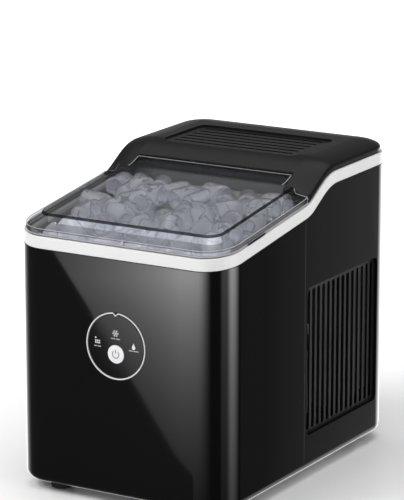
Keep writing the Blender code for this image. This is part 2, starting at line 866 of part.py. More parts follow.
def arc_strip(inner, outer, start, end, steps):
    """A ring segment in the YZ plane about the tray's axis, angles in degrees."""
    points = []
    for radius, angles in ((outer, (start, end)), (inner, (end, start))):
        for i in range(steps + 1):
            angle = math.radians(angles[0] + (angles[1] - angles[0]) * i / steps)
            points.append((radius * math.cos(angle), radius * math.sin(angle)))
    return points


def build_water_tray():
    """A half-round trough with end walls and a shaft, which tips about its own centre line."""
    bm = bmesh.new()
    width = 2 * TRAY_HALF_WIDTH
    outline = arc_strip(TRAY_INNER, TRAY_OUTER, -172, -8, 16)
    add_prism(bm, [(-TRAY_HALF_WIDTH, y, z) for y, z in outline], (width, 0, 0))
    bmesh.ops.recalc_face_normals(bm, faces=bm.faces)
    tray = from_bmesh("water_tray", bm, "pale_plastic", smooth=True)
    tray.location = (0, TRAY_Y, TRAY_Z)
    ends = bmesh.new()
    for side in (-1, 1):
        half_disc = arc_strip(TRAY_OUTER - 0.5 * MM, TRAY_OUTER - 0.5 * MM, -170, -10, 16)[:17]
        x = side * TRAY_HALF_WIDTH - (2 * MM if side > 0 else 0)
        add_prism(ends, [(x, y, z) for y, z in half_disc], (2 * MM, 0, 0))
    bmesh.ops.recalc_face_normals(ends, faces=ends.faces)
    end_walls = cutter("tray_ends", ends)
    end_walls.location = tray.location
    boolean(tray, end_walls, "UNION")
    for name, radius, inner, outer in (
        ("tray_bosses", 6.5 * MM, TRAY_HALF_WIDTH - 1.7 * MM, TRAY_HALF_WIDTH + 0.6 * MM),
        ("tray_shafts", 3 * MM, TRAY_HALF_WIDTH - 1.2 * MM, 76 * MM),
    ):
        rods = bmesh.new()
        for side in (-1, 1):
            add_rod(rods, (side * inner, 0, 0), (side * outer, 0, 0), radius, sides=14)
        pair = cutter(name, rods)
        pair.location = tray.location
        boolean(tray, pair, "UNION")


def build_ice_shovel():
    """A curved rake outside the tray, on the same shaft."""
    bm = bmesh.new()
    reach = 70 * MM
    outline = arc_strip(SHOVEL_INNER, SHOVEL_OUTER, -62, -12, 6)
    add_prism(bm, [(-reach, y, z) for y, z in outline], (2 * reach, 0, 0))
    bmesh.ops.recalc_face_normals(bm, faces=bm.faces)
    shovel = from_bmesh("ice_shovel", bm, "pale_plastic", smooth=True)
    shovel.location = (0, TRAY_Y, TRAY_Z)
    arms = bmesh.new()
    for side in (-1, 1):
        middle = math.radians(-37)
        tip = (26.2 * MM * math.cos(middle), 26.2 * MM * math.sin(middle))
        across = (-math.sin(middle) * 4 * MM, math.cos(middle) * 4 * MM)
        x = side * 70.6 * MM - (2.2 * MM if side > 0 else 0)
        outline = [
            (x, -across[0] - 3 * MM, -across[1] + 2 * MM),
            (x, tip[0] - across[0], tip[1] - across[1]),
            (x, tip[0] + across[0], tip[1] + across[1]),
            (x, across[0] - 3 * MM, across[1] + 2 * MM),
        ]
        add_prism(arms, outline, (2.2 * MM, 0, 0))
    arm_pair = cutter("shovel_arms", arms)
    arm_pair.location = shovel.location
    boolean(shovel, arm_pair, "UNION")
    hubs = bmesh.new()
    for side in (-1, 1):
        add_rod(hubs, (side * 68 * MM, 0, 0), (side * 71 * MM, 0, 0), 6.5 * MM, sides=16)
    hub_pair = cutter("shovel_hubs", hubs)
    hub_pair.location = shovel.location
    boolean(shovel, hub_pair, "UNION")
    bore = bmesh.new()
    add_rod(bore, (-80 * MM, 0, 0), (80 * MM, 0, 0), 3.4 * MM, sides=16)
    bore_pair = cutter("shovel_bore", bore)
    bore_pair.location = shovel.location
    boolean(shovel, bore_pair)


def build_chamber_fittings():
    hood_outline = [(-33, 237), (-33, 251.5), (-27, 255), (9, 262.8), (9, 237)]
    hood = prism(
        "evaporator_hood",
        [(-92 * MM, y * MM, z * MM) for y, z in hood_outline],
        (184 * MM, 0, 0),
        "grey_plastic",
    )
    hollow = bmesh.new()
    inside = [(-31, 230), (-31, 250.2), (-26, 253.2), (14, 261.9), (14, 230)]
    add_prism(hollow, [(-90 * MM, y * MM, z * MM) for y, z in inside], (180 * MM, 0, 0))
    boolean(hood, cutter("hood_hollow", hollow))
    block(
        "tray_motor",
        (76.6 * MM, -27 * MM, 206 * MM),
        (89.6 * MM, 6 * MM, 246 * MM),
        "pale_plastic",
        bevel=2 * MM,
    )
    block(
        "ice_full_sensor",
        (-91 * MM, -37.5 * MM, 243 * MM),
        (-81 * MM, -33.3 * MM, 254 * MM),
        "grey_plastic",
        bevel=MM,
    )
    block(
        "water_level_sensor",
        (-93.5 * MM, -60 * MM, 74 * MM),
        (-86 * MM, -42 * MM, 104 * MM),
        "grey_plastic",
        bevel=MM,
    )
    tube(
        "fill_spout",
        [(-40 * MM, y * MM, z * MM) for y, z in ((17.2, 254), (11, 254), (5, 251.5))],
        2.5 * MM,
        "pale_plastic",
    )
    strainer = [(0, 9), (7, 9), (9, 7), (9, 0), (0, 0)]
    turned(
        "pump_strainer",
        [(r * MM, h * MM) for r, h in strainer],
        (60 * MM, -60 * MM, 66.4 * MM),
        "pale_plastic",
        16,
    )


# ---------------------------------------------------------------- water and refrigeration


def build_water_circuit():
    body = [(0, 38), (13, 38), (15, 36), (15, 16), (19, 14), (19, 2), (17, 0), (0, 0)]
    place = (60 * MM, -60 * MM, 13 * MM)
    turned("water_pump", [(r * MM, h * MM) for r, h in body], place, "grey_plastic", 24)
    hose = (
        (39, -50, 22),
        (10, -30, 24),
        (-20, 10, 30),
        (-38, 31, 60),
        (-40, 32, 120),
        (-40, 32, 190),
        (-40, 31.5, 236),
        (-40, 29, 250),
        (-40, 24.5, 254),
        (-40, 20.6, 254),
    )
    tube("pump_hose", [(x * MM, y * MM, z * MM) for x, y, z in hose], 4 * MM, "silicone")
    drain = ((-82, 0, 49), (-84, 20, 44), (-86, 60, 35), (-86, 110, 31), (-86, 141, 31))
    tube("drain_hose", [(x * MM, y * MM, z * MM) for x, y, z in drain], 5 * MM, "silicone")
    plug = [(0, 18), (7, 18), (9, 16.5), (9, 13), (5, 12), (4.6, 0), (0, 0)]
    turned(
        "drain_plug",
        [(r * MM, h * MM) for r, h in plug],
        (DRAIN[0], HALF_DEPTH - 18 * MM, DRAIN[1]),
        "silicone",
        20,
        (0, 1, 0),
    )


def build_compressor():
    x, y = COMPRESSOR
    r = COMPRESSOR_RADIUS / MM
    body = [(0, 120), (20, 119), (36, 113), (r - 1, 100), (r, 88), (r, 62), (r + 1.5, 60)]
    body += [(r + 1.5, 57), (r, 55), (r, 22), (r - 4, 10), (30, 2), (0, 0)]
    shell = turned(
        "compressor",
        [(a * MM, h * MM) for a, h in body],
        (x, y, 24 * MM),
        "painted_steel",
        28,
    )
    plate = bmesh.new()
    add_block(plate, (x - 56 * MM, y - 56 * MM, 22 * MM), (x + 56 * MM, y + 56 * MM, 25 * MM))
    boolean(shell, cutter("compressor_plate", plate), "UNION")
    profile = [(0, 9.4), (6, 9.4), (7.5, 7), (6, 4.7), (7.5, 2.4), (7, 0), (0, 0)]
    for number, (across, back) in enumerate(((-48, -48), (48, -48), (0, 48))):
        turned(
            f"compressor_mount_{number + 1}",
            [(a * MM, h * MM) for a, h in profile],
            (x + across * MM, y + back * MM, 11.9 * MM),
            "rubber",
            16,
        )
    block(
        "start_relay",
        (-99 * MM, 84 * MM, 70 * MM),
        (-79.5 * MM, 108 * MM, 108 * MM),
        "grey_plastic",
        bevel=1.5 * MM,
    )


def build_condenser():
    low = Vector((84 * MM, 40 * MM, 56 * MM))
    high = Vector((103.5 * MM, 138 * MM, 176 * MM))
    condenser = block("condenser", low, high, "aluminium")
    slots = bmesh.new()
    count = 11
    pitch = (high.y - low.y - 4 * MM) / count
    for i in range(count):
        y = low.y + 4 * MM + i * pitch
        add_block(
            slots,
            (low.x + 4 * MM, y, low.z - 5 * MM),
            (high.x + 5 * MM, y + pitch - 4 * MM, high.z + 5 * MM),
        )
    boolean(condenser, cutter("condenser_slots", slots))


def build_fan():
    shroud = block(
        "fan_shroud",
        (66 * MM, 46 * MM, 62 * MM),
        (80 * MM, 146 * MM, 162 * MM),
        "grey_plastic",
    )
    hole = bmesh.new()
    ends = (60 * MM, FAN_Y, FAN_Z), (90 * MM, FAN_Y, FAN_Z)
    add_rod(hole, *ends, FAN_RADIUS + 2.5 * MM, sides=32)
    boolean(shroud, cutter("shroud_hole", hole))
    bar = bmesh.new()
    add_block(
        bar, (64 * MM, FAN_Y - 6 * MM, 62.5 * MM), (67.5 * MM, FAN_Y + 6 * MM, 161.5 * MM)
    )
    boolean(shroud, cutter("shroud_bar", bar), "UNION")
    bore = bmesh.new()
    add_rod(bore, *ends, 2.4 * MM, sides=12)
    boolean(shroud, cutter("shroud_bore", bore))
    motor = [(0, 24), (12, 24), (14, 22), (14, 2), (12, 0), (0, 0)]
    turned(
        "fan_motor",
        [(r * MM, h * MM) for r, h in motor],
        (39.6 * MM, FAN_Y, FAN_Z),
        "steel",
        20,
        (1, 0, 0),
    )
    build_fan_rotor()


def build_fan_rotor():
    """A hub with five pitched blades, about its own X axis."""
    bm = bmesh.new()
    add_rod(bm, (-4 * MM, 0, 0), (4.5 * MM, 0, 0), 12 * MM, sides=20)
    rotor = from_bmesh("fan_rotor", bm, "grey_plastic", smooth=True)
    rotor.location = (73 * MM, FAN_Y, FAN_Z)
    blades = bmesh.new()
    for i in range(5):
        made = bmesh.ops.create_cube(blades, size=1)
        size = Matrix.Diagonal((1.6 * MM, 22 * MM, 34 * MM, 1))
        lift = Matrix.Translation((0, 0, 27 * MM))
        pitch = Matrix.Rotation(math.radians(-18), 4, "Z")
        turn = Matrix.Rotation(2 * math.pi * i / 5, 4, "X")
        bmesh.ops.transform(blades, matrix=turn @ lift @ pitch @ size, verts=made["verts"])
    blade_set = cutter("fan_blades", blades)
    blade_set.location = rotor.location
    boolean(rotor, blade_set, "UNION")
    shaft = bmesh.new()
    add_rod(shaft, (-8.5 * MM, 0, 0), (-3 * MM, 0, 0), 2 * MM, sides=12)
    fan_shaft = cutter("fan_shaft", shaft)
    fan_shaft.location = rotor.location
    boolean(rotor, fan_shaft, "UNION")


def build_refrigerant_lines():
    discharge = (
        (-4, 112, 143),
        (0, 116, 160),
        (20, 122, 184),
        (60, 124, 192),
        (88, 122, 190),
        (94, 120, 184),
        (94, 120, 179),
    )
    tube(
        "discharge_line", [(x * MM, y * MM, z * MM) for x, y, z in discharge], 2.5 * MM, "copper"
    )
    suction = (
        (-52, 78, 141),
        (-54, 72, 165),
        (-52, 52, 200),
        (-24, 44, 226),
        (-12, 36, 242),
        (-10, 28, 246),
        (-10, 22, 246),
    )
    tube("suction_line", [(x * MM, y * MM, z * MM) for x, y, z in suction], 3 * MM, "copper")
    drier = [(0, 70), (2.5, 70), (3, 66), (9, 58), (9, 12), (3, 4), (2.5, 0), (0, 0)]
    turned(
        "filter_drier",
        [(r * MM, h * MM) for r, h in drier],
        (86 * MM, 136 * MM, 184 * MM),
        "copper",
        16,
    )
    block(
        "hot_gas_valve",
        (56 * MM, 58 * MM, 186 * MM),
        (80 * MM, 82 * MM, 216 * MM),
        "painted_steel",
        bevel=2 * MM,
    )
    hot_gas = ((68, 56, 196), (60, 44, 200), (36, 36, 230), (22, 28, 240), (20, 22, 240))
    tube("hot_gas_line", [(x * MM, y * MM, z * MM) for x, y, z in hot_gas], 2.2 * MM, "copper")


def build_power_board():
    block(
        "power_board",
        (-70 * MM, 62 * MM, 244 * MM),
        (40 * MM, 140 * MM, 245.6 * MM),
        "board_green",
    )
    block(
        "board_transformer",
        (-60 * MM, 90 * MM, 246 * MM),
        (-24 * MM, 122 * MM, 270 * MM),
        "painted_steel",
        bevel=1.5 * MM,
    )


def build_rear_fittings():
    gland = [(0, 12), (7, 12), (9, 10.5), (9, 6), (10.8, 6), (10.8, 3), (7, 2), (7, 0), (0, 0)]
    turned(
        "cord_inlet",
        [(r * MM, h * MM) for r, h in gland],
        (CORD_INLET[0], HALF_DEPTH - 12 * MM, CORD_INLET[1]),
        "rubber",
        20,
        (0, 1, 0),
    )
    head = [(0, 12), (2.2, 12), (3.3, 11.2), (3.3, 9.8), (1.6, 9), (1.6, 0), (0, 0)]
    for i, (x, z) in enumerate(REAR_SCREWS):
        turned(
            f"rear_screw_{i + 1}",
            [(r * MM, h * MM) for r, h in head],
            (x, HALF_DEPTH - 12.2 * MM, z),
            "steel",
            12,
            (0, 1, 0),
        )


build_front_cover()
build_rear_housing()
build_trim_band()
build_top_cover()
build_lid()
build_hinge_pins()
build_side_grilles()
build_base()
build_panel()
build_inner_tank()
build_insulation()
build_ice_basket()
build_ice_pile()
build_evaporator()
build_evaporator_bracket()
build_water_tray()
build_ice_shovel()
build_chamber_fittings()
build_water_circuit()
build_compressor()
build_condenser()
build_fan()
build_refrigerant_lines()
build_power_board()
build_rear_fittings()
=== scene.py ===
"""Looks, light and camera for a countertop bullet ice maker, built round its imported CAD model.

World frame, in metres: X to the right, -Y towards the user, +Z up, origin on the worktop under the
middle of the cabinet. Lengths below are in millimetres times MM.
"""

import math
import random

import bmesh
import bpy
import numpy as np
from mathutils import Euler, Matrix, Vector


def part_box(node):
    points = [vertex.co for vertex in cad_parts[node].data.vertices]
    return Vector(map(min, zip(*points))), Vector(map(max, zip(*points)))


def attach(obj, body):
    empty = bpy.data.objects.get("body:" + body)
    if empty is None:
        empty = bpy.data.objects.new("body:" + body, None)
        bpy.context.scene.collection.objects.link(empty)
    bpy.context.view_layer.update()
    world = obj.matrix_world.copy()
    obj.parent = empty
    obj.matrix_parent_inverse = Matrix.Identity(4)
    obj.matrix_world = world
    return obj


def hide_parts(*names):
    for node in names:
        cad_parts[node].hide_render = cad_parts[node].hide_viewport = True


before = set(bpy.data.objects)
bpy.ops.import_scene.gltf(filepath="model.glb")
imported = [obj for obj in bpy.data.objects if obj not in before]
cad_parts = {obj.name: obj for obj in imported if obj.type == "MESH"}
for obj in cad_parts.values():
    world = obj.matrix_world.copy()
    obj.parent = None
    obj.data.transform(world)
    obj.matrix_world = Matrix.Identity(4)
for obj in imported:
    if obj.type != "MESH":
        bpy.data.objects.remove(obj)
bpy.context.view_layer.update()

MM = 0.001

# Cabinet, as in the CAD source
WIDTH = 222 * MM
DEPTH = 320 * MM
HALF_WIDTH = WIDTH / 2
HALF_DEPTH = DEPTH / 2
CORNER_RADIUS = 31 * MM
FOOT_HEIGHT = 8 * MM
FOOT_FILLET = 8 * MM
WALL = 2.5 * MM
GAP = 0.3 * MM
PARTING_Y = -12.5 * MM
FRONT_SHOULDER_Z = 228.2 * MM
BEND_LOW = (-3 * MM, 249.2 * MM)
BEND_HIGH = (34 * MM, 270.9 * MM)
REAR_SHOULDER_Z = 271.8 * MM
BEND_LOW_REACH = 8 * MM
BEND_HIGH_REACH = 14 * MM
BAND_HEIGHT = 11.1 * MM
BAND_WALL = 3 * MM
SKIRT_HEIGHT = 5.5 * MM
CROWN = 8.6 * MM
LID_BASE = BAND_HEIGHT + 3 * GAP
LID_REAR_Y = -6 * MM
LID_INSET = 2 * MM
LID_WALL = 2.2 * MM
LID_MIDDLE = (0, -60 * MM, 200 * MM)
TAB_HALF_WIDTH = 82 * MM
COVER_FRONT_Y = -5.2 * MM
COVER_WALL = 3.2 * MM
COVER_RISE = 10.9 * MM
NOTCH_HALF_WIDTH = 82.8 * MM
NOTCH_Y = 15.5 * MM
HINGE_Y = 12.5 * MM
HINGE_Z = 278.8 * MM
BARREL_RADIUS = 2.4 * MM
PANEL_Z = 149 * MM
PANEL_RADIUS = 31 * MM
BUTTON_Z = 141.6 * MM
BUTTON_RADIUS = 8.5 * MM
VENT_LOW = (-9.5 * MM, 42 * MM)
VENT_HIGH = (129.5 * MM, 183 * MM)
VENT_SLOTS = 14
VENT_FIRST_Y = -1 * MM
VENT_PITCH = 9.46 * MM
VENT_SLOT_RADIUS = 2.5 * MM
REAR_SCREWS = [(x * MM, z * MM) for x in (-88, 88) for z in (62, 225)]
CORD_INLET = (70 * MM, 34 * MM)
DRAIN = (-86 * MM, 31 * MM)
FRONT_Y = -HALF_DEPTH

# Fineness of the visible shells
ARC_STEPS = 20

# Camera: a long lens, matched to the photo's outline
CAMERA_AT = (1.3374, -2.2647, 0.8572)
CAMERA_AZIMUTH = math.radians(30.67)
CAMERA_ELEVATION = math.radians(13.97)
CAMERA_LENS = 210.3


# ---------------------------------------------------------------- shader helpers


class Shader:
    """A material, world or group node tree with short names for its usual nodes."""

    def __init__(self, tree):
        self.tree = tree
        self.nodes = tree.nodes
        self.links = tree.links

    def node(self, kind, **settings):
        made = self.nodes.new(kind)
        for name, value in settings.items():
            setattr(made, name, value)
        return made

    def feed(self, value, socket):
        """Links an output to the socket, or sets the socket to a plain value."""
        if isinstance(value, bpy.types.NodeSocket):
            self.links.new(value, socket)
        else:
            socket.default_value = value

    def math(self, operation, a, b=0.0, clamp=False):
        made = self.node("ShaderNodeMath", operation=operation, use_clamp=clamp)
        self.feed(a, made.inputs[0])
        self.feed(b, made.inputs[1])
        return made.outputs[0]

    def remap(self, value, low, high, to_low, to_high, smooth=False):
        made = self.node("ShaderNodeMapRange")
        made.interpolation_type = "SMOOTHSTEP" if smooth else "LINEAR"
        self.feed(value, made.inputs[0])
        for socket, number in zip(made.inputs[1:5], (low, high, to_low, to_high)):
            socket.default_value = number
        return made.outputs[0]

    def noise(self, scale, detail=2.0, roughness=0.5, stretch=None):
        place = self.node("ShaderNodeTexCoord").outputs["Object"]
        if stretch:
            mapping = self.node("ShaderNodeMapping")
            mapping.inputs["Scale"].default_value = stretch
            self.links.new(place, mapping.inputs[0])
            place = mapping.outputs[0]
        made = self.node("ShaderNodeTexNoise")
        made.inputs["Scale"].default_value = scale
        made.inputs["Detail"].default_value = detail
        made.inputs["Roughness"].default_value = roughness
        self.links.new(place, made.inputs["Vector"])
        return made.outputs[0]

    def mix_colour(self, factor, a, b):
        made = self.node("ShaderNodeMix", data_type="RGBA")
        self.feed(factor, made.inputs[0])
        self.feed(a, made.inputs[6])
        self.feed(b, made.inputs[7])
        return made.outputs[2]

    def bump(self, height, strength, distance):
        made = self.node("ShaderNodeBump")
        made.inputs["Strength"].default_value = strength
        made.inputs["Distance"].default_value = distance
        self.links.new(height, made.inputs["Height"])
        return made.outputs[0]


ACRYLIC_IOR = 1.49


def rgba(colour):
    return (*colour, 1.0)


def new_material(name, settings):
    """A material, its shader helper and its Principled shader with these plain settings."""
    made = bpy.data.materials.new(name)
    made.use_nodes = True
    shader = Shader(made.node_tree)
    surface = shader.nodes["Principled BSDF"]
    for socket, value in settings.items():
        surface.inputs[socket].default_value = value
    return made, shader, surface


def mix_surfaces(shader, factor, first, second):
    mix = shader.node("ShaderNodeMixShader")
    shader.links.new(factor, mix.inputs[0])
    shader.links.new(first.outputs[0], mix.inputs[1])
    shader.links.new(second.outputs[0], mix.inputs[2])
    shader.links.new(mix.outputs[0], shader.nodes["Material Output"].inputs["Surface"])


def plain_finish(
    name,
    colour,
    roughness,
    metallic=0.0,
    grain=(900.0, 0.05, 0.00004),
    wear=(18.0, 0.06),
    shade=0.12,
    ior=1.45,
    stretch=None,
):
    """A moulded, painted or metal finish.

    grain is the scale, strength and depth of its fine bump; wear is the scale and spread of its
    roughness; shade is how much its colour varies.
    """
    settings = {"Metallic": metallic, "IOR": ior, "Coat Roughness": 0.06}
    made, shader, surface = new_material(name, settings)
    patches = shader.noise(wear[0], 3.0, 0.55, stretch)
    rough = shader.remap(patches, 0.3, 0.7, max(roughness - wear[1], 0.01), roughness + wear[1])
    shader.links.new(rough, surface.inputs["Roughness"])
    darker = rgba([c * (1 - shade) for c in colour])
    lighter = rgba([min(c * (1 + shade), 1) for c in colour])
    tone = shader.mix_colour(shader.remap(patches, 0.35, 0.65, 0.0, 1.0), darker, lighter)
    shader.links.new(tone, surface.inputs["Base Color"])
    scale, strength, depth = grain
    if strength:
        fine = shader.noise(scale, 2.0, 0.6, stretch)
        shader.links.new(shader.bump(fine, strength, depth), surface.inputs["Normal"])
    return made


def smoked_clear(name, face_on, edge_on):
    """Tinted clear plastic: see-through face on, darker and more mirror-like edge on."""
    settings = {"Base Color": rgba((0.03, 0.03, 0.032)), "IOR": ACRYLIC_IOR}
    made, shader, surface = new_material(name, settings)
    haze = shader.noise(26.0, 3.0)
    shader.links.new(shader.remap(haze, 0.3, 0.7, 0.015, 0.04), surface.inputs["Roughness"])
    clear = shader.node("ShaderNodeBsdfTransparent")
    edge = shader.node("ShaderNodeLayerWeight")
    edge.inputs["Blend"].default_value = 0.5
    tint = shader.remap(edge.outputs["Facing"], 0.8, 0.98, 0.0, 1.0)
    colour = shader.mix_colour(tint, rgba(face_on), rgba(edge_on))
    shader.links.new(colour, clear.inputs["Color"])
    gloss = shader.node("ShaderNodeFresnel")
    gloss.inputs["IOR"].default_value = ACRYLIC_IOR
    solid = shader.math("ADD", shader.math("MULTIPLY", gloss.outputs[0], 0.45), 0.015, clamp=True)
    mix_surfaces(shader, solid, clear, surface)
    return made


def wet_ice():
    """Cloudy hollow ice: clear enough to bend the light, with frosty streaks; its dark outlines and
    dark streaks are painted shade, its thin white lines painted highlights and its faint emission a
    painted glow.
    """
    # The faint emission makes the ice glow a little: painted light.
    settings = {
        "IOR": 1.31, "Transmission Weight": 0.7, "Coat Weight": 1.0, "Coat Roughness": 0.03,
        "Emission Color": rgba((0.72, 0.74, 0.82)), "Emission Strength": 0.085,
    }
    made, shader, surface = new_material("ice_wet", settings)
    streaks = shader.noise(80.0, 4.0, 0.65)
    frost = shader.remap(streaks, 0.4, 0.66, 0.0, 1.0)
    shader.links.new(shader.remap(frost, 0.0, 1.0, 0.02, 0.2), surface.inputs["Roughness"])
    # Painted shade: the colour darkens where the ice is seen edge on, standing in for the dark
    # outlines that refraction draws.
    rim = shader.node("ShaderNodeLayerWeight")
    rim.inputs["Blend"].default_value = 0.35
    edge = shader.remap(rim.outputs["Facing"], 0.38, 0.82, 0.0, 1.0)
    body = shader.mix_colour(frost, rgba((0.84, 0.85, 0.9)), rgba((0.98, 0.98, 1.0)))
    colour = shader.mix_colour(edge, body, rgba((0.13, 0.14, 0.17)))
    # Painted shade: thin dark streaks in the colour stand in for the dark lines that refraction draws
    # inside the ice.
    swirl = shader.math("ABSOLUTE", shader.math("SUBTRACT", shader.noise(55.0, 1.0), 0.5))
    ice_painted_dark_streak = shader.remap(swirl, 0.006, 0.022, 0.65, 0.0)
    colour = shader.mix_colour(ice_painted_dark_streak, colour, rgba((0.1, 0.11, 0.14)))
    # Painted highlight: thin white lines in the colour stand in for glints.
    glint = shader.math("ABSOLUTE", shader.math("SUBTRACT", shader.noise(38.0, 2.0), 0.52))
    colour = shader.mix_colour(shader.remap(glint, 0.004, 0.02, 1.0, 0.0), colour, rgba((1, 1, 1)))
    shader.links.new(colour, surface.inputs["Base Color"])
    ripple = shader.noise(120.0, 3.0)
    shader.links.new(shader.bump(ripple, 0.5, 0.0009), surface.inputs["Normal"])
    clear = shader.node("ShaderNodeBsdfTransparent")
    clear.inputs["Color"].default_value = rgba((0.93, 0.95, 1.0))
    shadow = shader.node("ShaderNodeLightPath").outputs["Is Shadow Ray"]
    mix_surfaces(shader, shader.math("MULTIPLY", shadow, 0.7), surface, clear)
    return made


# Each finish by name. Colours are linear.
FINISH = {
    "gloss_black": plain_finish(
        "cover_gloss_black", (0.0032, 0.0032, 0.0034), 0.018, grain=(60.0, 0.0, 0.00002),
        wear=(5.0, 0.006), shade=0.05,
    ),
    "side_black": plain_finish(
        "housing_gloss_black", (0.0032, 0.0032, 0.0034), 0.06, grain=(60.0, 0.02, 0.00002),
        wear=(5.0, 0.015), shade=0.05,
    ),
    "satin_black": plain_finish(
        "cover_satin_black", (0.0045, 0.0045, 0.0047), 0.26, grain=(1500.0, 0.12, 0.00004),
        wear=(12.0, 0.04),
    ),
    "vent_black": plain_finish(
        "vent_black", (0.003, 0.003, 0.0032), 0.42, grain=(1500.0, 0.1, 0.00004), ior=1.35
    ),
    "lens_black": plain_finish(
        "lens_black", (0.0035, 0.0035, 0.0038), 0.035, grain=(60.0, 0.0, 0.0), wear=(6.0, 0.01),
        shade=0.04,
    ),
    "white_trim": plain_finish(
        "band_white", (0.6, 0.6, 0.6), 0.3, grain=(1200.0, 0.06, 0.00003), wear=(9.0, 0.04),
        shade=0.02,
    ),
    "white_button": plain_finish(
        "button_white", (0.66, 0.66, 0.67), 0.3, grain=(1500.0, 0.06, 0.00003), wear=(30.0, 0.05),
        shade=0.03,
    ),
    "print_white": plain_finish(
        "print_white", (0.6, 0.6, 0.61), 0.4, grain=(2500.0, 0.05, 0.00002), shade=0.03
    ),
    "print_grey": plain_finish(
        "print_grey", (0.36, 0.36, 0.37), 0.45, grain=(2500.0, 0.05, 0.00002), shade=0.04
    ),
    "symbol_grey": plain_finish(
        "symbol_grey", (0.2, 0.2, 0.205), 0.45, grain=(2500.0, 0.05, 0.00002), shade=0.04
    ),
    "tank_grey": plain_finish(
        "tank_grey", (0.33, 0.33, 0.33), 0.38, grain=(1100.0, 0.12, 0.00005), wear=(14.0, 0.06)
    ),
    "grey_plastic": plain_finish(
        "grey_plastic", (0.07, 0.07, 0.07), 0.42, grain=(1100.0, 0.15, 0.00005), wear=(20.0, 0.07)
    ),
    "pale_plastic": plain_finish(
        "pale_plastic", (0.5, 0.51, 0.52), 0.4, grain=(1000.0, 0.1, 0.00004), wear=(20.0, 0.06),
        shade=0.05,
    ),
    "steel": plain_finish(
        "zinc_steel", (0.56, 0.56, 0.57), 0.32, 1.0, grain=(400.0, 0.15, 0.00004),
        wear=(60.0, 0.08),
    ),
    "dark_screw": plain_finish(
        "screw_black_zinc", (0.05, 0.05, 0.052), 0.35, 1.0, grain=(500.0, 0.15, 0.00004),
        wear=(80.0, 0.08),
    ),
    "aluminium": plain_finish(
        "aluminium", (0.72, 0.72, 0.73), 0.34, 1.0, grain=(300.0, 0.2, 0.00005),
        wear=(40.0, 0.08), stretch=(1.0, 1.0, 0.15),
    ),
    "copper": plain_finish(
        "copper_tube", (0.68, 0.33, 0.2), 0.3, 1.0, grain=(250.0, 0.15, 0.00005),
        wear=(30.0, 0.1), shade=0.2,
    ),
    "painted_steel": plain_finish(
        "painted_steel", (0.015, 0.015, 0.015), 0.35, grain=(700.0, 0.15, 0.00006),
        wear=(20.0, 0.07),
    ),
    "rubber": plain_finish(
        "rubber", (0.018, 0.018, 0.018), 0.75, grain=(900.0, 0.3, 0.00008), wear=(30.0, 0.08)
    ),
    "silicone": plain_finish(
        "silicone", (0.62, 0.62, 0.6), 0.5, grain=(500.0, 0.1, 0.00005), wear=(30.0, 0.06),
        shade=0.05,
    ),
    "dark_silicone": plain_finish(
        "silicone_black", (0.02, 0.02, 0.02), 0.55, grain=(700.0, 0.15, 0.00005),
        wear=(30.0, 0.06),
    ),
    # Dark grey instead of the foam's pale colour: painted shade for the unlit inside of the cabinet,
    # seen through the vents.
    "foam": plain_finish(
        "foam_painted_shade_dark", (0.07, 0.07, 0.068), 0.9, grain=(600.0, 0.8, 0.0002), wear=(40.0, 0.05)
    ),
    "board": plain_finish(
        "circuit_board", (0.025, 0.12, 0.05), 0.35, grain=(250.0, 0.3, 0.00006),
        wear=(120.0, 0.12), shade=0.3,
    ),
    "smoked_clear": smoked_clear("lid_smoked_clear", (0.93, 0.932, 0.935), (0.44, 0.44, 0.45)),
    # A darker tint for the strip along the lid's step: painted shade.
    "crease_painted_shade": smoked_clear("lid_crease_painted_shade_tint", (0.5, 0.5, 0.51), (0.2, 0.2, 0.205)),
    # Dark grey for the bead in the cover's joint: painted highlight.
    "joint_painted_highlight_grey": plain_finish(
        "joint_painted_highlight_grey", (0.075, 0.075, 0.078), 0.5, grain=(900.0, 0.1, 0.00004)
    ),
    # Light grey for the beads along the lid's edges: painted highlight.
    "lid_edge_painted_highlight": plain_finish(
        "lid_edge_painted_highlight_grey", (0.34, 0.34, 0.35), 0.25, grain=(400.0, 0.05, 0.00003), shade=0.05
    ),
    "ice": wet_ice(),
}


# ---------------------------------------------------------------- mesh helpers


def add_piece(name, mesh, finish, body="cabinet", replaces=()):
    obj = bpy.data.objects.new(name, mesh)
    bpy.context.scene.collection.objects.link(obj)
    mesh.materials.clear()
    mesh.materials.append(FINISH[finish])
    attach(obj, body)
    for node in replaces:
        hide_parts(node)
    return obj


def shade(mesh, angle=32):
    """Smooth shading that keeps flat faces flat; returns the shaded mesh."""
    mesh.shade_smooth()
    mesh.set_sharp_from_angle(angle=math.radians(angle))
    holder = bpy.data.objects.new("holder", mesh)
    bpy.context.scene.collection.objects.link(holder)
    even = holder.modifiers.new("even", "WEIGHTED_NORMAL")
    even.keep_sharp = True
    even.weight = 80
    shaded = evaluated_mesh(holder)
    bpy.data.objects.remove(holder, do_unlink=True)
    bpy.data.meshes.remove(mesh)
    return shaded


def evaluated_mesh(obj):
    bpy.context.view_layer.update()
    graph = bpy.context.evaluated_depsgraph_get()
    return bpy.data.meshes.new_from_object(obj.evaluated_get(graph))


def mesh_of(bm, name="mesh", angle=32):
    mesh = bpy.data.meshes.new(name)
    bm.to_mesh(mesh)
    bm.free()
    return shade(mesh, angle)


def helper(bm, name="helper"):
    """A scratch object that takes modifiers and is removed again by solid_mesh."""
    mesh = bpy.data.meshes.new(name)
    bm.to_mesh(mesh)
    bm.free()
    obj = bpy.data.objects.new(name, mesh)
    bpy.context.scene.collection.objects.link(obj)
    return obj


def add_cut(obj, bm):
    """Cuts the shape away from the object; returns the scratch cutter for solid_mesh."""
    cutter = helper(closed_up(bm))
    modifier = obj.modifiers.new("cut", "BOOLEAN")
    modifier.operation = "DIFFERENCE"
    modifier.object = cutter
    return cutter


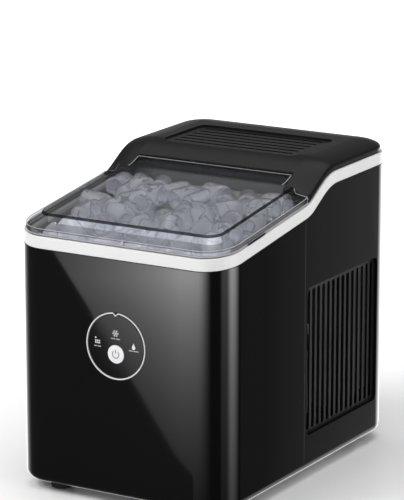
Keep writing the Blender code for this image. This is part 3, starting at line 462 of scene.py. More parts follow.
def add_wall(obj, thickness, even=True):
    wall = obj.modifiers.new("wall", "SOLIDIFY")
    wall.thickness = thickness
    wall.offset = -1
    wall.use_even_offset = even


def add_bevel(obj, width, segments=2, angle=40):
    edge = obj.modifiers.new("bevel", "BEVEL")
    edge.width = width
    edge.segments = segments
    edge.limit_method = "ANGLE"
    edge.angle_limit = math.radians(angle)
    edge.use_clamp_overlap = True


def solid_mesh(obj, *cutters, angle=32):
    """The object's mesh with its modifiers applied; the scratch objects are removed."""
    mesh = evaluated_mesh(obj)
    for scratch in (obj, *cutters):
        bpy.data.objects.remove(scratch, do_unlink=True)
    return shade(mesh, angle)


def along(direction):
    return Vector(direction).to_track_quat("Z", "Y").to_matrix().to_4x4()


def add_rod(bm, start, end, radius, sides=32):
    start, end = Vector(start), Vector(end)
    place = Matrix.Translation((start + end) / 2) @ along(end - start)
    bmesh.ops.create_cone(
        bm, cap_ends=True, segments=sides, radius1=radius, radius2=radius,
        depth=(end - start).length, matrix=place,
    )


def add_block(bm, low, high):
    low, high = Vector(low), Vector(high)
    place = Matrix.Translation((low + high) / 2) @ Matrix.Diagonal((*(high - low), 1))
    bmesh.ops.create_cube(bm, size=1, matrix=place)


def add_prism(bm, outline, direction):
    face = bm.faces.new([bm.verts.new(p) for p in outline])
    swept = bmesh.ops.extrude_face_region(bm, geom=[face])
    moved = [v for v in swept["geom"] if isinstance(v, bmesh.types.BMVert)]
    bmesh.ops.translate(bm, verts=moved, vec=direction)


def add_turned(bm, profile, place, axis=(0, 0, 1), steps=48):
    """A closed turned body from (radius, height) points that start and end on its axis."""
    turn = Matrix.Translation(place) @ along(axis)
    rows = []
    for radius, height in profile:
        count = 1 if radius == 0 else steps
        ring = []
        for i in range(count):
            angle = 2 * math.pi * i / steps
            point = Vector((radius * math.cos(angle), radius * math.sin(angle), height))
            ring.append(bm.verts.new(turn @ point))
        rows.append(ring)
    for low, high in zip(rows, rows[1:]):
        for i in range(steps):
            j = (i + 1) % steps
            face = [low[i % len(low)], low[j % len(low)], high[j % len(high)], high[i % len(high)]]
            corners = list(dict.fromkeys(face))
            if len(corners) > 2:
                bm.faces.new(corners)


def closed_up(bm):
    bmesh.ops.recalc_face_normals(bm, faces=bm.faces)
    return bm


def turn_outwards(bm, inside):
    bm.normal_update()
    inside = Vector(inside)
    facing = sum(
        face.normal.dot(face.calc_center_median() - inside) * face.calc_area()
        for face in bm.faces
    )
    if facing < 0:
        bmesh.ops.reverse_faces(bm, faces=bm.faces)


def shell_of(bm, inside, thickness, even=True):
    """A scratch object with the skin's faces turned away from inside and a wall behind them."""
    turn_outwards(bm, inside)
    obj = helper(bm)
    add_wall(obj, thickness, even)
    return obj


def in_mm(points):
    """Points written in millimetres, in metres."""
    return [tuple(number * MM for number in point) for point in points]


def add_bar(bm, rings):
    """A closed bar through rings of four points."""
    rows = [[bm.verts.new(p) for p in ring] for ring in rings]
    bm.faces.new(rows[0][::-1])
    for low, high in zip(rows, rows[1:]):
        for k in range(4):
            bm.faces.new((low[k], low[(k + 1) % 4], high[(k + 1) % 4], high[k]))
    bm.faces.new(rows[-1])


def add_bead(bm, points, radius):
    """A thin square bead along a line of points."""
    rings = []
    for i, point in enumerate(points):
        ahead = points[min(i + 1, len(points) - 1)] - points[max(i - 1, 0)]
        turn = Matrix.Translation(point) @ along(ahead)
        corners = ((-radius, -radius), (radius, -radius), (radius, radius), (-radius, radius))
        rings.append([turn @ Vector((x, y, 0)) for x, y in corners])
    add_bar(bm, rings)


def skin(bm, loops, closed):
    """Joins rows of points into strips of faces; closed rows go all the way round."""
    rows = [[bm.verts.new(p) for p in loop] for loop in loops]
    for low, high in zip(rows, rows[1:]):
        count = len(low) if closed else len(low) - 1
        for i in range(count):
            j = (i + 1) % len(low)
            bm.faces.new((low[i], low[j], high[j], high[i]))
    return rows


def bridge(bm, row, keep=lambda a, b: True):
    """Closes the top of a U-shaped row with faces from one arm to the other."""
    half = len(row) // 2
    for i in range(half - 1):
        a, b, c, d = row[i], row[i + 1], row[-2 - i], row[-1 - i]
        if keep(a, b):
            bm.faces.new((a, b, c, d))


# ---------------------------------------------------------------- outlines, as in the CAD source


def shoulder(y):
    """Height of the cabinet's top edge at y: a gentle slope, an S bend and a level rear part."""
    corners = [
        (-HALF_DEPTH, FRONT_SHOULDER_Z),
        BEND_LOW,
        BEND_HIGH,
        (HALF_DEPTH, REAR_SHOULDER_Z),
    ]
    slopes = [(b[1] - a[1]) / (b[0] - a[0]) for a, b in zip(corners, corners[1:])]
    height = corners[0][1] + slopes[0] * (y - corners[0][0])
    for corner, reach, before, after in (
        (BEND_LOW, BEND_LOW_REACH, slopes[0], slopes[1]),
        (BEND_HIGH, BEND_HIGH_REACH, slopes[1], slopes[2]),
    ):
        past = y - (corner[0] - reach)
        if past > 2 * reach:
            bend = y - corner[0]
        else:
            bend = max(past, 0) ** 2 / (4 * reach)
        height += (after - before) * bend
    return height


FINE_STATIONS = [y * MM for y in (-11, -9, -7, -5.2, -3.5, -2, 0, 2, 4, 6, 8.2, 10.5, 13, 15.5)]
FINE_STATIONS += [y * MM for y in (18, 21, 24, 27, 30, 33, 36, 39, 43, 47, 60, 80, 105)]


def u_path(end, stations, inset=0, arc_steps=ARC_STEPS):
    radius = CORNER_RADIUS - inset
    centre_x = HALF_WIDTH - CORNER_RADIUS
    centre_y = end * (HALF_DEPTH - CORNER_RADIUS)
    right = [(HALF_WIDTH - inset, y) for y in stations]
    for i in range(arc_steps + 1):
        angle = math.pi / 2 * i / arc_steps
        right.append(
            (centre_x + radius * math.cos(angle), centre_y + end * radius * math.sin(angle))
        )
    return right + [(-x, y) for x, y in reversed(right)]


def rounded_loop(half_width, y_front, y_back, radius, stations=(), arc_steps=12):
    loop = [(half_width, y) for y in stations]
    corners = (
        (half_width - radius, y_back - radius, 0),
        (-half_width + radius, y_back - radius, 90),
        (-half_width + radius, y_front + radius, 180),
        (half_width - radius, y_front + radius, 270),
    )
    for number, (centre_x, centre_y, start) in enumerate(corners):
        if number == 2:
            loop += [(-half_width, y) for y in reversed(stations)]
        for i in range(arc_steps + 1):
            angle = math.radians(start + 90 * i / arc_steps)
            loop.append((centre_x + radius * math.cos(angle), centre_y + radius * math.sin(angle)))
    return loop


def softened(points, rounds=2):
    """The polyline with its inner corners cut back, so that it turns smoothly."""
    for _ in range(rounds):
        cut = [points[0]]
        for (ax, ay), (bx, by) in zip(points, points[1:]):
            cut.append((ax * 0.75 + bx * 0.25, ay * 0.75 + by * 0.25))
            cut.append((ax * 0.25 + bx * 0.75, ay * 0.25 + by * 0.75))
        points = cut + [points[-1]]
    return points


# ---------------------------------------------------------------- cabinet


def wall_loops(end, stations):
    """The outside of a cabinet wall, from the fillet at its foot to the shoulder line."""
    loops = []
    for i in range(9):
        angle = math.pi / 2 * i / 8
        inset = FOOT_FILLET * (1 - math.sin(angle))
        z = FOOT_HEIGHT + FOOT_FILLET * (1 - math.cos(angle))
        loops.append([(x, y, z) for x, y in u_path(end, stations, inset)])
    path = u_path(end, stations)
    for z in (60 * MM, 120 * MM, 180 * MM):
        loops.append([(x, y, z) for x, y in path])
    loops.append([(x, y, shoulder(y) - GAP) for x, y in path])
    return loops


def build_front_cover():
    bm = bmesh.new()
    skin(bm, wall_loops(-1, [PARTING_Y - GAP, -60 * MM]), closed=False)
    cover = shell_of(bm, (0, 0, 120 * MM), WALL)
    hole = bmesh.new()
    add_rod(
        hole, (0, FRONT_Y - 5 * MM, PANEL_Z), (0, FRONT_Y + 10 * MM, PANEL_Z),
        PANEL_RADIUS + GAP, sides=120,
    )
    cutter = add_cut(cover, hole)
    add_bevel(cover, 0.6 * MM, segments=3)
    add_piece(
        "front_cover_shell", solid_mesh(cover, cutter), "gloss_black",
        replaces=["front_cover"],
    )


def rounded_window(side, depth, grow, steps=8):
    """The outline of a side vent window, on the plane x = depth."""
    radius = 7 * MM + grow
    low = (VENT_LOW[0] - grow, VENT_LOW[1] - grow)
    high = (VENT_HIGH[0] + grow, VENT_HIGH[1] + grow)
    outline = []
    for y, z, start in (
        (high[0] - radius, high[1] - radius, 0),
        (low[0] + radius, high[1] - radius, 90),
        (low[0] + radius, low[1] + radius, 180),
        (high[0] - radius, low[1] + radius, 270),
    ):
        for i in range(steps + 1):
            angle = math.radians(start + 90 * i / steps)
            outline.append(
                (side * depth, y + radius * math.cos(angle), z + radius * math.sin(angle))
            )
    return outline


def build_rear_housing():
    bm = bmesh.new()
    skin(bm, wall_loops(1, [PARTING_Y, *FINE_STATIONS]), closed=False)
    housing = shell_of(bm, (0, 0, 120 * MM), WALL)
    holes = bmesh.new()
    for side in (-1, 1):
        add_prism(holes, rounded_window(side, HALF_WIDTH - 6 * MM, 0), (side * 10 * MM, 0, 0))
    for x, z in REAR_SCREWS:
        add_rod(holes, (x, HALF_DEPTH - 8 * MM, z), (x, HALF_DEPTH + 4 * MM, z), 3.6 * MM)
    for x, z in (CORD_INLET, DRAIN):
        add_rod(holes, (x, HALF_DEPTH - 8 * MM, z), (x, HALF_DEPTH + 4 * MM, z), 9.4 * MM, 64)
    cutter = add_cut(housing, holes)
    add_bevel(housing, 0.5 * MM)
    add_piece(
        "rear_housing_shell", solid_mesh(housing, cutter), "side_black",
        replaces=["rear_housing"],
    )


def build_joint_highlights():
    """A thin grey bead in the joint between front cover and rear housing, and along its catch: a
    painted highlight on the joint's edges.
    """
    bm = bmesh.new()
    y = PARTING_Y - 0.15 * MM
    for side in (-1, 1):
        x = side * (HALF_WIDTH - 0.32 * MM)
        line = [Vector((x, y, z * MM)) for z in (17, 60, 110, 160, 200)]
        add_bead(bm, [*line, Vector((x, y, shoulder(y) - GAP))], 0.3 * MM)
        catch = [(y + 0.5 * MM, 148.6 * MM), (-7 * MM, 148.6 * MM), (-6.6 * MM, 148.2 * MM)]
        catch.append((-6.6 * MM, 139 * MM))
        add_bead(bm, [Vector((x, cy, cz)) for cy, cz in catch], 0.3 * MM)
    add_piece("cover_joint_painted_highlight", mesh_of(closed_up(bm)), "joint_painted_highlight_grey")


def build_trim_band():
    stations = [-100 * MM, -40 * MM, *FINE_STATIONS]
    plan = rounded_loop(
        HALF_WIDTH, -HALF_DEPTH, HALF_DEPTH, CORNER_RADIUS, stations, arc_steps=ARC_STEPS
    )
    bm = bmesh.new()
    skin(
        bm,
        [
            [(x, y, shoulder(y)) for x, y in plan],
            [(x, y, shoulder(y) + BAND_HEIGHT) for x, y in plan],
        ],
        closed=True,
    )
    band = shell_of(bm, (0, 0, 250 * MM), BAND_WALL)
    add_bevel(band, 0.8 * MM, segments=3)
    add_piece(
        "trim_band_ring", solid_mesh(band), "white_trim", replaces=["trim_band"]
    )


def cover_base(y):
    return shoulder(max(y, COVER_FRONT_Y + COVER_WALL)) + LID_BASE


def drop_edge_walls(bm):
    """Walls below the arms' front ends and round the notch that the lid's tab fills."""
    edges = [e for e in bm.edges if e.is_boundary]
    drop = [e for e in edges if all(v.co.z > cover_base(v.co.y) + GAP for v in e.verts)]
    drop = [e for e in drop if all(v.co.y < NOTCH_Y + GAP for v in e.verts)]
    made = bmesh.ops.extrude_edge_only(bm, edges=drop)
    for item in made["geom"]:
        if isinstance(item, bmesh.types.BMVert):
            item.co.z = cover_base(item.co.y)
    bmesh.ops.remove_doubles(bm, verts=bm.verts, dist=0.01 * MM)


def build_top_cover():
    stations = [y for y in FINE_STATIONS if y >= COVER_FRONT_Y]
    section = [(2, 3.2), (2.9, 5.1), (4.8, 6.3), (10, 8.4), (18, 10.1)]
    section = in_mm(section) + [(HALF_WIDTH - NOTCH_HALF_WIDTH, COVER_RISE)]
    loops = [[(x, y, cover_base(y)) for x, y in u_path(1, stations, section[0][0])]]
    for inset, rise in softened(section, 1):
        path = u_path(1, stations, inset)
        loops.append([(x, y, shoulder(y) + LID_BASE + rise) for x, y in path])
    bm = bmesh.new()
    rows = skin(bm, loops, closed=False)
    bridge(bm, rows[-1], keep=lambda a, b: min(a.co.y, b.co.y) > NOTCH_Y - GAP)
    drop_edge_walls(bm)
    cover = shell_of(bm, (0, 60 * MM, 200 * MM), COVER_WALL)
    top = shoulder(80 * MM) + LID_BASE + COVER_RISE
    sunk = bmesh.new()
    panel = rounded_loop(72.5 * MM, 37.5 * MM, 114.5 * MM, 9 * MM)
    add_prism(sunk, [(x, y, top - 1.5 * MM) for x, y in panel], (0, 0, 10 * MM))
    sunk_cutter = add_cut(cover, sunk)
    grooves = bmesh.new()
    for i in range(6):
        y = (47 + 11.5 * i) * MM
        groove = rounded_loop(64 * MM, y - 2 * MM, y + 2 * MM, 1.99 * MM, arc_steps=6)
        add_prism(grooves, [(px, py, top - 2.7 * MM) for px, py in groove], (0, 0, 8 * MM))
    groove_cutter = add_cut(cover, grooves)
    add_bevel(cover, 0.5 * MM)
    mesh = solid_mesh(cover, sunk_cutter, groove_cutter)
    add_piece("top_cover_shell", mesh, "satin_black", replaces=["top_cover"])


def lid_line(stations, inset, rise):
    """A line round the lid, this far inside its outline and this far above its base."""
    path = u_path(-1, stations, LID_INSET + inset)
    return [(x, y, shoulder(y) + LID_BASE + rise) for x, y in path]


def build_lid():
    stations = [y * MM for y in (-6, -18, -30, -50, -70, -90, -110)]
    ledge = softened(
        [
            (0, 0), (0, SKIRT_HEIGHT - 0.6 * MM), (0.6 * MM, SKIRT_HEIGHT),
            (12.5 * MM, SKIRT_HEIGHT + 2.3 * MM), (13.4 * MM, SKIRT_HEIGHT + 3 * MM),
            (14.6 * MM, SKIRT_HEIGHT + CROWN - 1.4 * MM), (17.5 * MM, SKIRT_HEIGHT + CROWN),
            (22 * MM, SKIRT_HEIGHT + CROWN),
        ]
    )
    bm = bmesh.new()
    rows = skin(bm, [lid_line(stations, *step) for step in ledge], closed=False)
    bridge(bm, rows[-1])
    add_lid_tab(bm, rows[-1])
    lid = shell_of(bm, LID_MIDDLE, LID_WALL)
    add_bevel(lid, 0.4 * MM, segments=2, angle=55)
    mesh = solid_mesh(lid)
    add_piece("lid_window", mesh, "smoked_clear", "lid", replaces=["lid"])
    build_lid_crease(stations)
    build_lid_edge_highlights(stations)
    build_lid_barrel()
    build_lid_grip()


def build_lid_crease(stations):
    """A darker tinted strip on the step where the raised window meets the ledge round it: painted
    shade for the dark line the step shows.
    """
    section = in_mm([(14.35, 12.3), (14.75, 13.2), (15.45, 13.9), (16.45, 14.25)])
    bm = bmesh.new()
    skin(bm, [lid_line(stations, *step) for step in section], closed=False)
    strip = shell_of(bm, LID_MIDDLE, 0.12 * MM)
    add_piece("lid_crease_painted_shade", solid_mesh(strip), "crease_painted_shade", "lid")


def build_lid_grip():
    """The small dark grip at the right edge of the lid."""
    depth, height = 3 * MM, 1.2 * MM
    x = HALF_WIDTH - 0.6 * MM
    rings = []
    for y in np.linspace(-116, -86, 9) * MM:
        z = shoulder(y) + LID_BASE - 0.4 * MM
        rings.append([(x - depth, y, z), (x, y, z), (x, y, z + height), (x - depth, y, z + height)])
    grip = bmesh.new()
    add_bar(grip, rings)
    add_piece("lid_finger_grip", mesh_of(closed_up(grip)), "lens_black", "lid")


def build_lid_barrel():
    """The hinge tube along the tab's rear edge, with chamfered ends and a knuckle over each pin."""
    r, length, step = BARREL_RADIUS, 2 * TAB_HALF_WIDTH, 0.35 * MM
    half = [(0, 0), (r - step, 0), (r, step), (r, 11 * MM), (r - step, 11 * MM + step)]
    half += [(r - step, 13 * MM - step), (r, 13 * MM)]
    profile = half + [(radius, length - height) for radius, height in reversed(half)]
    barrel = bmesh.new()
    add_turned(barrel, profile, (-TAB_HALF_WIDTH, HINGE_Y, HINGE_Z), (1, 0, 0), steps=32)
    mesh = mesh_of(closed_up(barrel))
    add_piece("lid_hinge_barrel", mesh, "smoked_clear", "lid")


def build_lid_edge_highlights(stations):
    """Light grey beads along the lid's cut edges, its rim, its rear edges and the tab's outline:
    painted highlights where these edges catch the light.
    """
    bm = bmesh.new()
    for inset, rise, radius in (
        (-0.1 * MM, 0.5 * MM, 0.42 * MM),
        (0.3 * MM, SKIRT_HEIGHT - 0.1 * MM, 0.22 * MM),
    ):
        add_bead(bm, [Vector(p) for p in lid_line(stations, inset, rise)], radius)
    section = [(0.3, 1), (0.3, 4.8), (1.2, 5.8), (6, 6.7), (12, 7.8), (13.4, 8.8), (14.4, 12)]
    section.append((16.5, 14))
    for side in (-1, 1):
        y = LID_REAR_Y
        rear = [
            Vector((side * (HALF_WIDTH - LID_INSET - i * MM), y, shoulder(y) + LID_BASE + r * MM))
            for i, r in section
        ]
        add_bead(bm, rear, 0.3 * MM)
        tab = [
            Vector((side * TAB_HALF_WIDTH, y, tab_height(y)))
            for y in np.linspace(LID_REAR_Y, HINGE_Y - 1.5 * MM, 7)
        ]
        add_bead(bm, tab, 0.22 * MM)
    y = HINGE_Y - 0.5 * MM
    across = [Vector((s * TAB_HALF_WIDTH, y, tab_height(y) + 0.1 * MM)) for s in (-1, 0, 1)]
    add_bead(bm, across, 0.25 * MM)
    add_piece("lid_edge_painted_highlights", mesh_of(closed_up(bm)), "lid_edge_painted_highlight", "lid")


def tab_height(y):
    """The tab comes down to the cover's level by the time it reaches the barrel."""
    part = (y - LID_REAR_Y) / (HINGE_Y - LID_REAR_Y)
    window = SKIRT_HEIGHT + CROWN
    return shoulder(y) + LID_BASE + window + (COVER_RISE - window) * part


def add_lid_tab(bm, top_row):
    """The tab from the window's rear edge up the slope to the barrel."""
    rows = [
        [bm.verts.new((s * TAB_HALF_WIDTH, y, tab_height(y))) for s in (1, -1)]
        for y in (-5.99 * MM, -3 * MM, 0, 3 * MM, 6 * MM, 9 * MM, HINGE_Y - 0.8 * MM)
    ]
    right, left = top_row[0], top_row[-1]
    panel = bm.edges.get((right, left)).link_faces[0]
    near = sorted((v for v in panel.verts if v not in (right, left)), key=lambda v: v.co.x)
    bm.faces.remove(panel)
    bm.faces.new((near[0], left, rows[0][1], rows[0][0], right, near[1]))
    for low, high in zip(rows, rows[1:]):
        bm.faces.new((low[0], low[1], high[1], high[0]))
    bmesh.ops.recalc_face_normals(bm, faces=bm.faces)


def build_side_grilles():
    for side, word in ((-1, "left"), (1, "right")):
        inner, outer = HALF_WIDTH - 4.9 * MM, HALF_WIDTH - 2.9 * MM
        plate = bmesh.new()
        add_prism(plate, rounded_window(side, inner, 2 * MM), (side * (outer - inner), 0, 0))
        grille = helper(closed_up(plate))
        slots = bmesh.new()
        for i in range(VENT_SLOTS):
            y = VENT_FIRST_Y + i * VENT_PITCH
            outline = []
            for z, start in ((VENT_HIGH[1] - 6.5 * MM, 0), (VENT_LOW[1] + 6.5 * MM, 180)):
                for step in range(9):
                    angle = math.radians(start + 22.5 * step)
                    outline.append(
                        (
                            side * (inner - 3 * MM),
                            y + VENT_SLOT_RADIUS * math.cos(angle),
                            z + VENT_SLOT_RADIUS * math.sin(angle),
                        )
                    )
            add_prism(slots, outline, (side * 8 * MM, 0, 0))
        cutter = add_cut(grille, slots)
        add_bevel(grille, 0.6 * MM, segments=3)
        add_piece(
            f"vent_grille_{word}", solid_mesh(grille, cutter), "vent_black",
            replaces=[f"side_grille_{word}"],
        )


def build_base():
    plan = rounded_loop(101 * MM, -150 * MM, 150 * MM, 24 * MM, arc_steps=10)
    bm = bmesh.new()
    bottom = FOOT_HEIGHT + 0.6 * MM
    add_prism(bm, [(x, y, bottom) for x, y in plan], (0, 0, 2.6 * MM))
    plate = helper(closed_up(bm))
    ribs = bmesh.new()
    for i in range(9):
        y = (-80 + 20 * i) * MM
        slot = rounded_loop(52 * MM, y - 3 * MM, y + 3 * MM, 2.9 * MM, arc_steps=6)
        add_prism(ribs, [(px, py, bottom - 2 * MM) for px, py in slot], (0, 0, 3 * MM))
    cutter = add_cut(plate, ribs)
    add_bevel(plate, 0.5 * MM)
    add_piece(
        "base_pan", solid_mesh(plate, cutter), "painted_steel",
        replaces=["base_plate"],
    )
    screws = bmesh.new()
    for x in (-88, 88):
        for y in (-110, 110):
            add_screw(screws, (x * MM, y * MM, bottom), (0, 0, -1), 3.2 * MM)
    add_piece("base_screws", mesh_of(closed_up(screws)), "dark_screw")
    names = ("front_left", "front_right", "rear_left", "rear_right")
    places = [(x * MM, y * MM) for y in (-137, 137) for x in (-73, 73)]
    profile = [(0, 8.3), (9.2, 8.3), (10.4, 7.6), (11, 6.4), (11, 2.2), (10.6, 1), (9.6, 0.2)]
    profile += [(8.8, 0), (7.4, 0), (7, 0.5), (3, 0.5), (2.6, 1.6), (0, 1.6)]
    for name, (x, y) in zip(names, places):
        foot = bmesh.new()
        add_turned(foot, in_mm(profile), (x, y, 0))
        add_piece(
            f"foot_pad_{name}", mesh_of(closed_up(foot)), "rubber",
            replaces=[f"foot_{name}"],
        )


def add_screw(bm, place, axis, radius):
    """A pan head with a cross recess, its underside at the place."""
    turn = Matrix.Translation(place) @ along(axis)
    head = bmesh.new()
    profile = [(0, 0), (1, 0), (1, 0.18), (0.93, 0.34), (0.78, 0.46), (0.5, 0.54), (0.3, 0.56)]
    profile.append((0, 0.56))
    add_turned(head, [(r * radius, h * radius) for r, h in profile], (0, 0, 0), steps=28)
    obj = helper(closed_up(head))
    cross = bmesh.new()
    arm, half = 0.56 * radius, 0.1 * radius
    plus = [(-half, -arm), (half, -arm), (half, -half), (arm, -half), (arm, half), (half, half)]
    plus += [(half, arm), (-half, arm), (-half, half), (-arm, half), (-arm, -half), (-half, -half)]
    add_prism(cross, [(x, y, 0.26 * radius) for x, y in plus], (0, 0, radius))
    cutter = add_cut(obj, cross)
    mesh = solid_mesh(obj, cutter)
    mesh.transform(turn)
    bm.from_mesh(mesh)
    bpy.data.meshes.remove(mesh)


def build_rear_fittings():
    for i, (x, z) in enumerate(REAR_SCREWS):
        bm = bmesh.new()
        add_rod(bm, (x, HALF_DEPTH - 12 * MM, z), (x, HALF_DEPTH - 2.6 * MM, z), 1.6 * MM, 20)
        add_screw(bm, (x, HALF_DEPTH - 2.7 * MM, z), (0, 1, 0), 3.2 * MM)
        add_piece(
            f"back_screw_{i + 1}", mesh_of(bm), "dark_screw",
            replaces=[f"rear_screw_{i + 1}"],
        )
    gland = [(0, 0), (7, 0), (7, 2), (10.6, 3), (10.6, 6), (9, 6.1), (9, 10.6), (8.6, 11.4)]
    gland += [(7.6, 11.8), (5.2, 11.9), (4.6, 11.4), (4.3, 8), (0, 8)]
    bm = bmesh.new()
    place = (CORD_INLET[0], HALF_DEPTH - 12 * MM, CORD_INLET[1])
    add_turned(bm, in_mm(gland), place, (0, 1, 0))
    mesh = mesh_of(closed_up(bm))
    add_piece("cord_gland", mesh, "rubber", replaces=["cord_inlet"])
    plug = [(0, 0), (4.6, 0), (4.6, 3), (4.2, 4), (4.6, 5), (5, 12), (8.8, 13), (9, 13.6)]
    plug += [(9, 16.4), (8.6, 17.3), (7.6, 17.8), (6.4, 17.9), (6, 17.2), (0, 17.2)]
    bm = bmesh.new()
    place = (DRAIN[0], HALF_DEPTH - 18 * MM, DRAIN[1])
    add_turned(bm, in_mm(plug), place, (0, 1, 0))
    pull = rounded_loop(4.6 * MM, -1.1 * MM, 1.1 * MM, 1 * MM, arc_steps=4)
    add_prism(
        bm,
        [(DRAIN[0] + px, HALF_DEPTH - 0.85 * MM, DRAIN[1] + py) for px, py in pull],
        (0, 0.7 * MM, 0),
    )
    add_piece(
        "drain_bung", mesh_of(closed_up(bm)), "dark_silicone", "drain_plug",
        replaces=["drain_plug"],
    )


# ---------------------------------------------------------------- control panel

LENS_Y = FRONT_Y + 0.3 * MM
PRINT_DEPTH = 0.25 * MM


def flat_shape(bm, outline):
    """A thin raised print on the lens, from (x, z) points in millimetres."""
    add_prism(bm, [(x * MM, LENS_Y, z * MM) for x, z in outline], (0, -PRINT_DEPTH, 0))


def stroke(bm, points, width):
    """A thin line of constant width through (x, z) points in millimetres."""
    left, right = [], []
    for i, (x, z) in enumerate(points):
        ax, az = points[max(i - 1, 0)]
        bx, bz = points[min(i + 1, len(points) - 1)]
        length = math.hypot(bx - ax, bz - az)
        nx, nz = -(bz - az) / length, (bx - ax) / length
        left.append((x + nx * width / 2, z + nz * width / 2))
        right.append((x - nx * width / 2, z - nz * width / 2))
    for i in range(len(points) - 1):
        flat_shape(bm, (left[i], left[i + 1], right[i + 1], right[i]))


def build_panel():
    bm = bmesh.new()
    profile = [(0, 0), (28.9, 0), (29.1, 0.3), (29.1, 1.5), (28.7, 1.9), (0, 1.9)]
    add_turned(bm, in_mm(profile), (0, FRONT_Y + 2.2 * MM, PANEL_Z), (0, -1, 0), 120)
    lens = helper(closed_up(bm))
    hole = bmesh.new()
    add_rod(
        hole, (0, FRONT_Y - 4 * MM, BUTTON_Z), (0, FRONT_Y + 6 * MM, BUTTON_Z),
        BUTTON_RADIUS + GAP, sides=80,
    )
    cutter = add_cut(lens, hole)
    add_bevel(lens, 0.2 * MM)
    mesh = solid_mesh(lens, cutter)
    add_piece("panel_glass", mesh, "lens_black", replaces=["panel_lens"])
    build_panel_ring()
    build_button()
    build_icons()


def build_panel_ring():
    """The bright ring, with a small droplet-shaped dip at its top."""
    steps = 180
    centre, half = 30.25, 0.64
    bm = bmesh.new()
    rows = []
    for i in range(steps):
        angle = math.pi / 2 + 2 * math.pi * (i + 0.5) / steps
        off = (angle - math.pi / 2 + math.pi) % (2 * math.pi) - math.pi
        dip = 2.6 * max(0.0, 1 - abs(off) / 0.085) ** 0.8
        ring = []
        for radius, depth in (
            (centre - half, 2.0), (centre - half, 0.35), (centre - half + 0.25, 0.05),
            (centre + half - 0.25, 0.05), (centre + half, 0.35), (centre + half, 2.0),
        ):
            r = (radius - dip) * MM
            ring.append(
                bm.verts.new(
                    (r * math.cos(angle), FRONT_Y + depth * MM, PANEL_Z + r * math.sin(angle))
                )
            )
        rows.append(ring)
    for a, b in zip(rows, rows[1:] + rows[:1]):
        for k in range(6):
            bm.faces.new((a[k], b[k], b[(k + 1) % 6], a[(k + 1) % 6]))
    mesh = mesh_of(closed_up(bm))
    add_piece("panel_ring_bright", mesh, "print_white", replaces=["panel_ring"])


def arc_points(centre, radius, start, end, steps):
    angles = [math.radians(start + (end - start) * i / steps) for i in range(steps + 1)]
    return [(centre[0] + radius * math.cos(a), centre[1] + radius * math.sin(a)) for a in angles]


def build_button():
    profile = [(0, 0), (3, 0), (3, 5.7), (8.5, 5.7), (8.5, 6.5), (8.35, 6.8), (8, 6.95), (0, 6.95)]
    bm = bmesh.new()
    add_turned(bm, in_mm(profile), (0, FRONT_Y + 7.2 * MM, BUTTON_Z), (0, -1, 0), 80)
    add_piece(
        "button_cap", mesh_of(closed_up(bm)), "white_button", "power_button",
        replaces=["power_button"],
    )
    z = BUTTON_Z / MM
    bm = bmesh.new()
    stroke(bm, arc_points((0, z), 3.4, 130, 410, 40), 0.75)
    stroke(bm, [(0, z + 0.6), (0, z + 4.2)], 0.75)
    add_piece(
        "button_symbol", mesh_of(closed_up(bm)), "symbol_grey", "power_button"
    )


def bar(bm, x, z, width, height):
    left, right, low, high = x - width / 2, x + width / 2, z - height / 2, z + height / 2
    flat_shape(bm, [(left, low), (right, low), (right, high), (left, high)])


def build_icons():
    icons = bmesh.new()
    # snowflake
    cx, cz = 0, 160.9
    for k in range(6):
        a = math.radians(60 * k)
        stroke(icons, [(cx, cz), (cx + 3.3 * math.cos(a), cz + 3.3 * math.sin(a))], 0.5)
        for bend in (-50, 50):
            b = a + math.radians(bend)
            root = (cx + 1.9 * math.cos(a), cz + 1.9 * math.sin(a))
            stroke(icons, [root, (root[0] + 1.2 * math.cos(b), root[1] + 1.2 * math.sin(b))], 0.42)
    # stack of ice pieces
    cx, cz = -18.9, 151.6
    for row, count in enumerate((3, 3, 1)):
        for k in range(count):
            bar(icons, cx - 1.9 + 1.9 * k, cz - 1.6 + 1.9 * row + 0.7 * (row == 2), 1.3, 1.3)
    # water drop
    cx, cz = 18.9, 151.2
    drop = arc_points((cx, cz - 1), 1.75, -205, 25, 16)
    flat_shape(icons, [*drop, (cx, cz + 3.1)])
    add_piece("panel_icons", mesh_of(closed_up(icons)), "print_white")
    captions = bmesh.new()
    lines = ((0, 155.9, (4.4, 4.2)), (-18.9, 146.9, (3, 3.4)), (18.9, 147.2, (4, 5.2)))
    for cx, cz, words in lines:
        total = sum(words) + 0.8
        x = cx - total / 2
        for width in words:
            bar(captions, x + width / 2, cz, width, 0.8)
            x += width + 0.8
    add_piece("panel_caption_bars", mesh_of(closed_up(captions)), "print_grey")


# ---------------------------------------------------------------- ice chamber


def build_tub(walls, stations, arc_steps, inside, thickness, even=True):
    """A tub from walls of (half width, front y, back y, corner radius, height at y)."""
    loops = []
    for *plan, height in walls:
        path = rounded_loop(*(size * MM for size in plan), stations, arc_steps=arc_steps)
        loops.append([(x, y, height(y)) for x, y in path])
    bm = bmesh.new()
    rows = skin(bm, loops, closed=True)
    bm.faces.new(rows[-1])
    return shell_of(bm, inside, thickness, even)


